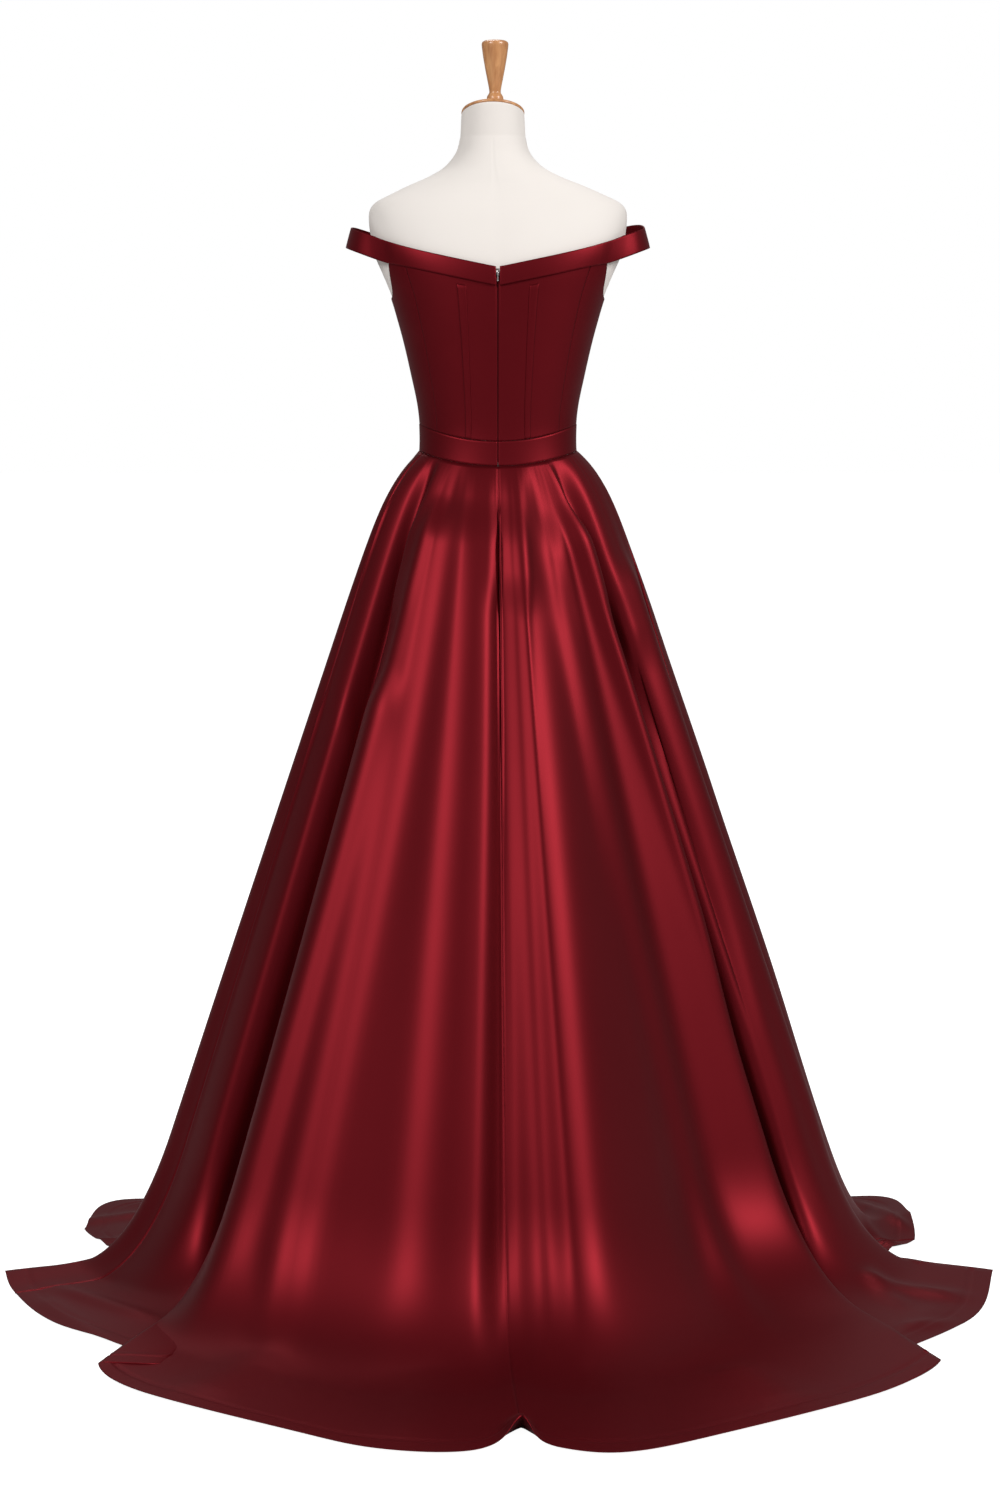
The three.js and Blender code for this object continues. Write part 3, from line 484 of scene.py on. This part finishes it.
satinSettings = dict(deep=(0.132, 0.0052, 0.0092), bright=(0.160, 0.0066, 0.0112), roughness=0.46, metallic=0.78,
                     threads=2600)


def satinMaterial(s):
    # fine weave bump on the cloth's own UV, slow colour change along it
    material, nodes, links, shader = newMaterial("burgundySatin")
    uv = nodes.new("ShaderNodeUVMap")
    uv.uv_map = "weave"
    threads = nodes.new("ShaderNodeTexNoise")
    stretch = nodes.new("ShaderNodeMapping")
    stretch.inputs["Scale"].default_value = (s["threads"], s["threads"] / 12, 1)
    links.new(uv.outputs[0], stretch.inputs[0])
    links.new(stretch.outputs[0], threads.inputs["Vector"])
    threads.inputs["Scale"].default_value = 1
    threads.inputs["Detail"].default_value = 2
    slow = nodes.new("ShaderNodeTexNoise")
    slow.inputs["Scale"].default_value = 5
    slow.inputs["Detail"].default_value = 3
    place = nodes.new("ShaderNodeTexCoord")
    links.new(place.outputs["Object"], slow.inputs["Vector"])
    ramp = nodes.new("ShaderNodeMix")
    ramp.data_type = "RGBA"
    ramp.inputs["A"].default_value = (*s["deep"], 1)
    ramp.inputs["B"].default_value = (*s["bright"], 1)
    links.new(slow.outputs["Fac"], ramp.inputs["Factor"])
    links.new(ramp.outputs["Result"], shader.inputs["Base Color"])
    bump = nodes.new("ShaderNodeBump")
    bump.inputs["Strength"].default_value = 0.05
    bump.inputs["Distance"].default_value = 0.0003
    links.new(threads.outputs["Fac"], bump.inputs["Height"])
    links.new(bump.outputs[0], shader.inputs["Normal"])
    shader.inputs["Roughness"].default_value = s["roughness"]
    shader.inputs["Metallic"].default_value = s["metallic"]
    shader.inputs["Specular IOR Level"].default_value = 0.15
    shader.inputs["Sheen Weight"].default_value = 0.02
    shader.inputs["Sheen Roughness"].default_value = 0.4
    shader.inputs["Sheen Tint"].default_value = (0.9, 0.5, 0.55, 1)
    return material


def jerseyMaterial():
    material, nodes, links, shader = newMaterial("creamJersey")
    place = nodes.new("ShaderNodeTexCoord")
    knit = nodes.new("ShaderNodeTexNoise")
    knit.inputs["Scale"].default_value = 900
    links.new(place.outputs["Object"], knit.inputs["Vector"])
    slow = nodes.new("ShaderNodeTexNoise")
    slow.inputs["Scale"].default_value = 9
    links.new(place.outputs["Object"], slow.inputs["Vector"])
    tone = nodes.new("ShaderNodeMix")
    tone.data_type = "RGBA"
    tone.inputs["A"].default_value = (0.77, 0.715, 0.67, 1)
    tone.inputs["B"].default_value = (0.81, 0.76, 0.715, 1)
    links.new(slow.outputs["Fac"], tone.inputs["Factor"])
    links.new(tone.outputs["Result"], shader.inputs["Base Color"])
    bump = nodes.new("ShaderNodeBump")
    bump.inputs["Strength"].default_value = 0.15
    bump.inputs["Distance"].default_value = 0.0004
    links.new(knit.outputs["Fac"], bump.inputs["Height"])
    links.new(bump.outputs[0], shader.inputs["Normal"])
    shader.inputs["Roughness"].default_value = 0.85
    shader.inputs["Sheen Weight"].default_value = 0.15
    return material


def beechMaterial():
    material, nodes, links, shader = newMaterial("varnishedBeech")
    place = nodes.new("ShaderNodeTexCoord")
    stretch = nodes.new("ShaderNodeMapping")
    stretch.inputs["Scale"].default_value = (60, 60, 7)
    links.new(place.outputs["Object"], stretch.inputs[0])
    grain = nodes.new("ShaderNodeTexNoise")
    grain.inputs["Scale"].default_value = 2.5
    grain.inputs["Detail"].default_value = 6
    grain.inputs["Distortion"].default_value = 0.6
    links.new(stretch.outputs[0], grain.inputs["Vector"])
    ramp = nodes.new("ShaderNodeValToRGB")
    ramp.color_ramp.elements[0].position = 0.3
    ramp.color_ramp.elements[0].color = (0.42, 0.17, 0.06, 1)
    ramp.color_ramp.elements[1].position = 0.72
    ramp.color_ramp.elements[1].color = (0.68, 0.34, 0.14, 1)
    links.new(grain.outputs["Fac"], ramp.inputs["Fac"])
    links.new(ramp.outputs["Color"], shader.inputs["Base Color"])
    shader.inputs["Roughness"].default_value = 0.38
    shader.inputs["Coat Weight"].default_value = 0.35
    shader.inputs["Coat Roughness"].default_value = 0.2
    return material


def metalMaterial(name, colour, metallic, roughness):
    material, nodes, links, shader = newMaterial(name)
    place = nodes.new("ShaderNodeTexCoord")
    wear = nodes.new("ShaderNodeTexNoise")
    wear.inputs["Scale"].default_value = 40
    links.new(place.outputs["Object"], wear.inputs["Vector"])
    tone = nodes.new("ShaderNodeMix")
    tone.data_type = "RGBA"
    tone.inputs["A"].default_value = (*[c * 0.85 for c in colour], 1)
    tone.inputs["B"].default_value = (*colour, 1)
    links.new(wear.outputs["Fac"], tone.inputs["Factor"])
    links.new(tone.outputs["Result"], shader.inputs["Base Color"])
    shader.inputs["Metallic"].default_value = metallic
    shader.inputs["Roughness"].default_value = roughness
    return material


satin = satinMaterial(satinSettings)
jersey = jerseyMaterial()
beech = beechMaterial()
standPaint = metalMaterial("blackPowderCoat", (0.03, 0.03, 0.032), 0.0, 0.5)
# darker satin: the zip tape's own colour, and also the painted shade on the hem's turned-under rows
zipTapeAndHemShade = satinMaterial(dict(satinSettings, deep=(0.05, 0.002, 0.004), bright=(0.07, 0.003, 0.005), metallic=0.1))
nickel = metalMaterial("nickel", (0.82, 0.8, 0.78), 1.0, 0.25)


def dressPiece(obj, material, node, wall):
    # thin cloth under the face, on the gown, in place of its solid
    obj.data.materials.append(material)
    shell = obj.modifiers.new("wall", "SOLIDIFY")
    shell.thickness = wall * mm
    shell.offset = -1
    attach(obj, gownBody)
    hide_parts(node)


# Skirt panels; the last rows of faces, under the hem, take the darker zip tape cloth as painted shade under the
# hem's edge
hemShadeRows = 4
hemShare = 0.965
skirtPanels = [
    dict(name="skirtBackLeft", node="skirt_back_left", start="centre_back", end="left_side", flat=(1.62, 1.58)),
    dict(name="skirtFront", node="skirt_front", start="left_side", end="right_side", flat=(2.1, 1.3)),
    dict(name="skirtBackRight", node="skirt_back_right", start="right_side", end="centre_back", flat=(1.7, 1.58)),
]


def seamColumns(begin, finish, perLine):
    # even columns, with a few close ones at each seam
    near = np.array([0, 0.008, 0.02, 0.04])
    inner = np.linspace(begin, finish, (finish - begin) * perLine + 1)[1:-1]
    return np.concatenate([begin + near, inner, finish - near[::-1]])


def makeSkirt():
    s = skirtSettings
    # rows from the waist down, closer together over the hem
    t = np.linspace(0, hemShare, s["rows"])
    t = np.concatenate([t, np.linspace(hemShare, 1, s["hemRows"] + 1)[1:]])
    share = t - s["rowEase"] * np.sin(2 * np.pi * t)
    for panel in skirtPanels:
        begin = lineIndex(panel["start"])
        finish = lineIndex(panel["end"])
        if finish <= begin:
            finish += len(skirtLines)
        u = seamColumns(begin, finish, s["columnsPerLine"])
        grid = hemFacing(skirtFace(u, share, s), s)
        obj = gridMesh(panel["name"], grid[:, ::-1] * mm, clothUv(grid * mm)[:, ::-1])
        dressPiece(obj, satin, panel["node"], wall=0.5)
        # second slot: painted shade on the last rows of faces, turned under the hem
        obj.data.materials.append(zipTapeAndHemShade)
        slots = np.zeros(len(obj.data.polygons), dtype=np.int32)
        slots[-hemShadeRows * (len(u) - 1):] = 1
        obj.data.polygons.foreach_set("material_index", slots)


makeSkirt()
print("skirt made")


# Bodice panels, waistband and neckline band
bodiceTop = [
    dict(angle=-90, height=1362), dict(angle=-70, height=1384), dict(angle=-52, height=1416),
    dict(angle=-40, height=1436), dict(angle=-33, height=1430), dict(angle=-22, height=1394),
    dict(angle=-8, height=1379), dict(angle=4, height=1378), dict(angle=18, height=1388),
    dict(angle=30, height=1428), dict(angle=38, height=1436), dict(angle=52, height=1428),
    dict(angle=70, height=1418), dict(angle=90, height=1407),
]
bodicePanels = [
    dict(name="bodiceBack", node="bodice_back", lowFrom=90, lowTo=40, highFrom=90, highTo=44, sides=(1, -1),
         flat=(0.15, 0.258)),
    dict(name="bodiceSideBack", node="bodice_side_back", lowFrom=40, lowTo=-4, highFrom=44, highTo=-4,
         sides=(1, -1), flat=(0.098, 0.245)),
    dict(name="bodiceSideFront", node="bodice_side_front", lowFrom=-4, lowTo=-58, highFrom=-4, highTo=-60,
         sides=(1, -1), flat=(0.145, 0.245)),
    dict(name="bodiceFront", node="bodice_front", lowFrom=-58, lowTo=-122, highFrom=-60, highTo=-120, sides=(0,),
         flat=(0.205, 0.215)),
]
bodiceSettings = dict(rows=90, columns=60, zipHalf=0.6, wall=1.4, seamInset=0.1, waistGap=0.3)


def topHeight(angle):
    # the right half of the front reads the left half's rows
    folded = np.where(angle < -90, -180 - angle, angle)
    return readTable(bodiceTop, "angle", folded, "height")


def panelGrid(panel, s, out):
    # angle runs from one seam to the other, height from the waistband's top to the top edge
    up = np.linspace(1, 0, s["rows"])[:, None]
    across = np.linspace(0, 1, s["columns"])[None, :]
    begin = panel["lowFrom"] + (panel["highFrom"] - panel["lowFrom"]) * up
    end = panel["lowTo"] + (panel["highTo"] - panel["lowTo"]) * up
    inset = s["seamInset"] * np.sign(begin - end)
    angle = (begin - inset) + (end - begin + 2 * inset) * across
    low = waistTop(angle) + s["waistGap"]
    z = low + (topHeight(angle) - low) * up
    grid = bodyPoint(angle, z, out)
    if panel["lowFrom"] == 90:
        grid[:, 0, 0] = s["zipHalf"]
    return grid


def mirrorGrid(grid, side):
    # the right half is the left half with x turned over and the columns taken the other way
    if side < 0:
        grid = grid[:, ::-1] * np.array([-1.0, 1.0, 1.0])
    return grid


def makeBodice():
    s = bodiceSettings
    out = formSettings["clothGap"] + formSettings["bodiceWall"]
    for panel in bodicePanels:
        for side in panel["sides"]:
            ending = {1: "Left", -1: "Right", 0: ""}[side]
            grid = mirrorGrid(panelGrid(panel, s, out), side)
            obj = gridMesh(panel["name"] + ending, grid[:, ::-1] * mm, clothUv(grid * mm)[:, ::-1])
            node = panel["node"] + ("_" + ending.lower() if ending else "")
            dressPiece(obj, satin, node, wall=s["wall"])


makeBodice()
print("bodice made")


waistbandSettings = dict(columns=361, rows=14, seat=2, wall=1.8, zipHalf=0.6)


def makeWaistband(s):
    # once round from the centre back, between the two dipped edges
    angle = np.linspace(90, 450, s["columns"])[None, :]
    up = np.linspace(1, 0, s["rows"])[:, None]
    z = waistFoot(angle) + (waistTop(angle) - waistFoot(angle)) * up
    grid = bodyPoint(angle, z, formSettings["clothGap"] + s["seat"])
    grid[:, 0, 0] = -s["zipHalf"]
    grid[:, -1, 0] = s["zipHalf"]
    obj = gridMesh("satinWaistband", grid * mm, clothUv(grid * mm))
    dressPiece(obj, satin, "waistband", wall=s["wall"])


makeWaistband(waistbandSettings)

bandTable = [
    dict(angle=-90, middle=1358, width=31, off=0, lean=0),
    dict(angle=-80, middle=1374, width=31, off=0, lean=0),
    dict(angle=-68, middle=1395, width=32, off=0, lean=0),
    dict(angle=-58, middle=1414, width=32, off=0, lean=0),
    dict(angle=-48, middle=1431, width=33, off=0, lean=0),
    dict(angle=-38, middle=1445, width=33, off=0.5, lean=1),
    dict(angle=-30, middle=1453, width=32, off=6, lean=3),
    dict(angle=-20, middle=1461, width=30, off=17, lean=7),
    dict(angle=-10, middle=1465, width=29, off=25, lean=11),
    dict(angle=0, middle=1464, width=28, off=27, lean=12),
    dict(angle=12, middle=1458, width=30, off=18, lean=9),
    dict(angle=22, middle=1450, width=33, off=6, lean=4),
    dict(angle=31, middle=1443.5, width=33, off=0.5, lean=1),
    dict(angle=40, middle=1439.5, width=31, off=0, lean=0),
    dict(angle=50, middle=1434.5, width=29, off=0, lean=0),
    dict(angle=62, middle=1427.5, width=28, off=0, lean=0),
    dict(angle=75, middle=1419.5, width=27, off=0, lean=0),
    dict(angle=83, middle=1414, width=26.5, off=0, lean=0),
    dict(angle=90, middle=1408.5, width=26, off=0, lean=0),
]
bandSettings = dict(seat=3.0, wall=2.4, back=2.6, front=0.2, columns=220, rows=15, cloth=2.0,
                    raisedRight=10, raisedFrom=-2, raisedReach=70)


def bandGrid(raised, s):
    # top edge minus bottom edge is the width; off and lean hold it away from the body over the arm, and raised
    # lifts it before the arm by a half sine
    angle = np.linspace(90, -90, s["columns"])[None, :]
    up = np.linspace(0.5, -0.5, s["rows"])[:, None]
    middle, width, off, lean = [readTable(bandTable, "angle", angle, c) for c in ("middle", "width", "off", "lean")]
    past = np.clip((s["raisedFrom"] - angle) / s["raisedReach"], 0, 1)
    lifted = raised * np.sin(np.pi * past)
    grid = bodyPoint(angle, middle + lifted + up * width, s["seat"] + off - up * lean + s["wall"])
    grid[..., 0] = np.maximum(grid[..., 0], np.where(angle > 0, s["back"], s["front"]))
    return grid


def makeBand(s):
    for ending, side, raised in (("Left", 1, 0), ("Right", -1, s["raisedRight"])):
        grid = mirrorGrid(bandGrid(raised, s), side)
        obj = gridMesh("necklineBand" + ending, grid[:, ::-1] * mm, clothUv(grid * mm)[:, ::-1])
        dressPiece(obj, satin, "neckline_band_" + ending.lower(), wall=s["cloth"])


makeBand(bandSettings)
print("waistband and neckline band made")


# Boning channels: narrow raised strips on the back panels
channelSettings = dict(low=69, high=75, halfTurn=2.4, topClear=18, footClear=1, crown=1.2, crownFade=0.02,
                       seat=0.05, wall=0.6, rows=80, columns=15)


def makeChannels(s):
    # a strip between two angles, flat on top with rounded edges: crown * (1 - across^6)
    up = np.linspace(1, 0, s["rows"])[:, None]
    across = np.linspace(-1, 1, s["columns"])[None, :]
    angle = s["low"] + (s["high"] - s["low"]) * up - s["halfTurn"] * across
    low = waistTop(angle) + s["footClear"]
    z = low + (topHeight(angle) - s["topClear"] - low) * up
    crown = s["crown"] * (1 - across ** 6) * smoothstep(1 - up, 0, s["crownFade"])
    grid = bodyPoint(angle, z, formSettings["clothGap"] + formSettings["bodiceWall"] + crown + s["seat"])
    for ending, side in (("Left", 1), ("Right", -1)):
        half = mirrorGrid(grid, side)
        obj = gridMesh("boningChannel" + ending, half[:, ::-1] * mm, clothUv(half * mm)[:, ::-1])
        dressPiece(obj, satin, "boning_channel_" + ending.lower(), wall=s["wall"])


makeChannels(channelSettings)


# Centre back zip: the tape behind the opening, the slider and its pull tab
zipSettings = dict(low=1150, high=1409, halfWidth=6, out=0.75, rows=60, columns=9, wall=0.4)
# Rings of the slider and the pull tab in mm: height, half width, half depth, shift in y
sliderRings = [(4, 0.05, 0.05, 0), (3.9, 1.5, 0.9, 0), (3.2, 1.9, 1.3, 0), (0.5, 1.9, 1.3, 0),
               (-1.5, 1.6, 1.3, 0), (-3.6, 1.1, 1.2, 0), (-3.9, 0.8, 0.8, 0), (-4, 0.05, 0.05, 0)]
tabRings = [(6.3, 0.05, 0.05, 0), (6.2, 0.7, 0.3, 0), (5.4, 1.05, 0.38, 0), (1.5, 0.8, 0.38, 0),
            (-1.5, 0.85, 0.38, 0), (-4.8, 1.18, 0.38, 0), (-6.0, 0.95, 0.3, 0), (-6.3, 0.05, 0.05, 0)]
zipParts = [
    dict(name="zipSlider", node="zip_slider", body=gownBody, rings=sliderRings, square=3.2, place=(0, 101.7, 1412)),
    dict(name="zipPull", node="zip_pull", body=tabBody, rings=tabRings, square=3.0, place=(0, 104.7, 1407.4)),
]
ringPoints = 28


def makeZipTape(s):
    z = np.linspace(s["high"], s["low"], s["rows"])[:, None]
    x = np.linspace(-s["halfWidth"], s["halfWidth"], s["columns"])[None, :]
    grid = bodyPoint(90, z + 0 * x, s["out"])
    grid[..., 0] = x
    obj = gridMesh("zipTape", grid * mm, clothUv(grid * mm))
    obj.data.materials.append(zipTapeAndHemShade)
    shell = obj.modifiers.new("wall", "SOLIDIFY")
    shell.thickness = s["wall"] * mm
    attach(obj, gownBody)


def loftMesh(name, levels, around, square, place):
    # superellipse rings (height, half width, half depth, shift in y), closed with a point at both ends
    turn = np.linspace(0, 2 * np.pi, around, endpoint=False)
    c, d = np.cos(turn), np.sin(turn)
    ring = np.stack([np.sign(c) * np.abs(c) ** (2 / square), np.sign(d) * np.abs(d) ** (2 / square)], axis=-1)
    levels = np.array(levels, dtype=float)
    grid = np.zeros((len(levels), around, 3))
    grid[..., 0] = ring[None, :, 0] * levels[:, 1:2]
    grid[..., 1] = ring[None, :, 1] * levels[:, 2:3] + levels[:, 3:4]
    grid[..., 2] = levels[:, 0:1]
    return gridMesh(name, (grid + np.array(place)) * mm, clothUv(grid * mm), wrap=True)


def makeZipParts():
    for part in zipParts:
        obj = loftMesh(part["name"], part["rings"], ringPoints, part["square"], part["place"])
        obj.data.materials.append(nickel)
        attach(obj, part["body"])
        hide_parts(part["node"])


makeZipTape(zipSettings)
makeZipParts()
print("channels and zip made")


# Dress form, smooth, with faint seams in its jersey cover
def neckRing(turn, rise, shrink):
    # tilted ellipse round the top of the neck, raised along the slope's normal
    s = formSettings
    depth = np.where(np.sin(turn) > 0, s["neckBack"], s["neckFront"])
    x = (s["neckRadius"] - shrink) * np.cos(turn) + s["lean"]
    y = (depth - shrink) * np.sin(turn)
    z = s["neckTop"] + np.tan(s["tilt"]) * y + rise * np.cos(s["tilt"])
    return np.stack([x, y - rise * np.sin(s["tilt"]), z], axis=-1)


def makeForm():
    angle = np.arange(0, 360, 1.5)
    turn = np.radians(angle)
    z = np.concatenate([np.linspace(1605, 1500, 80), np.linspace(1498, 860, 150)])[:, None]
    sides = np.abs(angle[None, :] % 180 - 90)
    seam = 0.5 * np.exp(-(sides / 1.3) ** 2) * smoothstep(1604 - z, 0, 12)
    body = bodyPoint(angle[None, :], z, -seam)
    rim = [neckRing(turn, 0.0, shrink) for shrink in (44, 30, 12, 4, 1.2)]
    edge = neckRing(turn, -1.2, 0.0)
    neck = [edge + (body[0] - edge) * k for k in np.linspace(0, 1, 18)[:-1]]
    foot = body[-1] * np.array([0.02, 0.02, 1.0])
    grid = np.concatenate([np.stack(rim), np.stack(neck), body, foot[None]])
    obj = gridMesh("formBody", grid[:, ::-1] * mm, None, wrap=True)
    obj.data.materials.append(jersey)
    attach(obj, gownBody)
    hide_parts("form_body")


capLevels = [(0.3, 44), (0.3, 0.6), (0.9, 0.0), (2.6, -0.1), (4.0, 0.4), (5.0, 1.8), (5.5, 4), (5.6, 24)]
bossSettings = dict(radius=17, top=1649.5, shift=3)
finialProfile = [
    (0.05, 0), (10, 0), (11.3, 1.5), (12, 6), (11.5, 11), (9.7, 14), (8.3, 16), (8, 18.5), (8.8, 24), (10.4, 32),
    (12, 40), (13.6, 48), (15.2, 57), (16.8, 66), (18, 75), (19, 83), (18.3, 86.5), (14.5, 88.8), (8, 89.7),
    (0.05, 90),
]


def makeWood():
    turn = np.radians(np.arange(0, 360, 3.0))
    rings = [neckRing(turn, rise, shrink) for rise, shrink in capLevels]
    lean = np.array([formSettings["lean"], 0, 0])
    spoke = (rings[-1] - lean) * np.array([1.0, 1.0, 0.0])
    spoke = spoke / np.linalg.norm(spoke, axis=1, keepdims=True)
    middle = np.array([formSettings["lean"] - bossSettings["shift"], 0, bossSettings["top"]])
    for radius in (bossSettings["radius"], 0.05):
        rings.append(spoke * radius + middle)
    cap = gridMesh("neckCap", np.stack(rings) * mm, None, wrap=True)
    radius, height = np.array(finialProfile, dtype=float).T
    t = np.linspace(0, len(radius) - 1, 140)
    smooth = np.stack([np.interp(t, np.arange(len(radius)), radius), np.interp(t, np.arange(len(radius)), height)])
    kernel = np.ones(5) / 5
    padded = np.pad(smooth, ((0, 0), (2, 2)), mode="edge")
    smooth = np.stack([np.convolve(padded[0], kernel, "valid"), np.convolve(padded[1], kernel, "valid")])
    rings = np.stack([smooth[0][:, None] * np.cos(turn), smooth[0][:, None] * np.sin(turn),
                      np.repeat(smooth[1][:, None], len(turn), axis=1)], axis=-1)
    finial = gridMesh("turnedFinial", (rings + middle + np.array([0, 0, 0.3])) * mm, None, wrap=True)
    for obj, node in ((cap, "neck_cap"), (finial, "finial")):
        obj.data.materials.append(beech)
        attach(obj, gownBody)
        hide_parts(node)


makeForm()
makeWood()
for node in ("stand_pole", "stand_base"):
    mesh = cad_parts[node].data
    mesh.materials.clear()
    mesh.materials.append(standPaint)
print("form and stand made")


# Floor, sky and lights
lightSettings = [
    dict(name="key", place=(2.95, 3.8, 4.0), aim=(0, 0.25, 0.7), size=(1.4, 1.7), power=155),
    dict(name="fill", place=(-4.0, 2.8, 4.0), aim=(0, 0.25, 0.7), size=(1.4, 1.7), power=205),
    dict(name="farSide", place=(0.3, -2.4, 4.6), aim=(0, -0.2, 0.8), size=(1.6, 1.6), power=40),
]
skySettings = dict(shown=1.0, given=0.215)


def makeFloor():
    # pale floor that is a little bright by itself, so that it meets the white sky without an edge
    mesh = bpy.data.meshes.new("studioFloor")
    reach = 30
    mesh.from_pydata([(-reach, -reach, -0.001), (reach, -reach, -0.001), (reach, reach, -0.001),
                      (-reach, reach, -0.001)], [], [(0, 1, 2, 3)])
    floor = bpy.data.objects.new("studioFloor", mesh)
    bpy.context.scene.collection.objects.link(floor)
    material, nodes, links, shader = newMaterial("studioFloor")
    path = nodes.new("ShaderNodeLightPath")
    glow = nodes.new("ShaderNodeMath")
    glow.operation = "MULTIPLY"
    glow.inputs[1].default_value = 0.97
    links.new(path.outputs["Is Camera Ray"], glow.inputs[0])
    links.new(glow.outputs[0], shader.inputs["Emission Strength"])
    shader.inputs["Emission Color"].default_value = (1, 1, 1, 1)
    shader.inputs["Base Color"].default_value = (0.6, 0.6, 0.6, 1)
    shader.inputs["Roughness"].default_value = 0.9
    shader.inputs["Specular IOR Level"].default_value = 0.1
    mesh.materials.append(material)


def makeLights():
    for s in lightSettings:
        data = bpy.data.lights.new(s["name"], "AREA")
        data.shape = "RECTANGLE"
        data.size, data.size_y = s["size"]
        data.energy = s["power"]
        light = bpy.data.objects.new(s["name"], data)
        bpy.context.scene.collection.objects.link(light)
        light.location = s["place"]
        aim = Vector(s["aim"]) - Vector(s["place"])
        light.rotation_euler = aim.to_track_quat("-Z", "Y").to_euler()


def makeSky(s):
    # white to the camera, dimmer for the light it gives
    world = bpy.data.worlds.new("studio")
    bpy.context.scene.world = world
    world.use_nodes = True
    nodes = world.node_tree.nodes
    links = world.node_tree.links
    nodes.clear()
    path = nodes.new("ShaderNodeLightPath")
    shown = nodes.new("ShaderNodeBackground")
    shown.inputs["Strength"].default_value = s["shown"]
    given = nodes.new("ShaderNodeBackground")
    given.inputs["Strength"].default_value = s["given"]
    mix = nodes.new("ShaderNodeMixShader")
    output = nodes.new("ShaderNodeOutputWorld")
    links.new(path.outputs["Is Camera Ray"], mix.inputs[0])
    links.new(given.outputs[0], mix.inputs[1])
    links.new(shown.outputs[0], mix.inputs[2])
    links.new(mix.outputs[0], output.inputs[0])
    for node in (shown, given):
        node.inputs["Color"].default_value = (1, 1, 1, 1)


makeFloor()
makeLights()
makeSky(skySettings)
bpy.context.scene.view_settings.view_transform = "Standard"
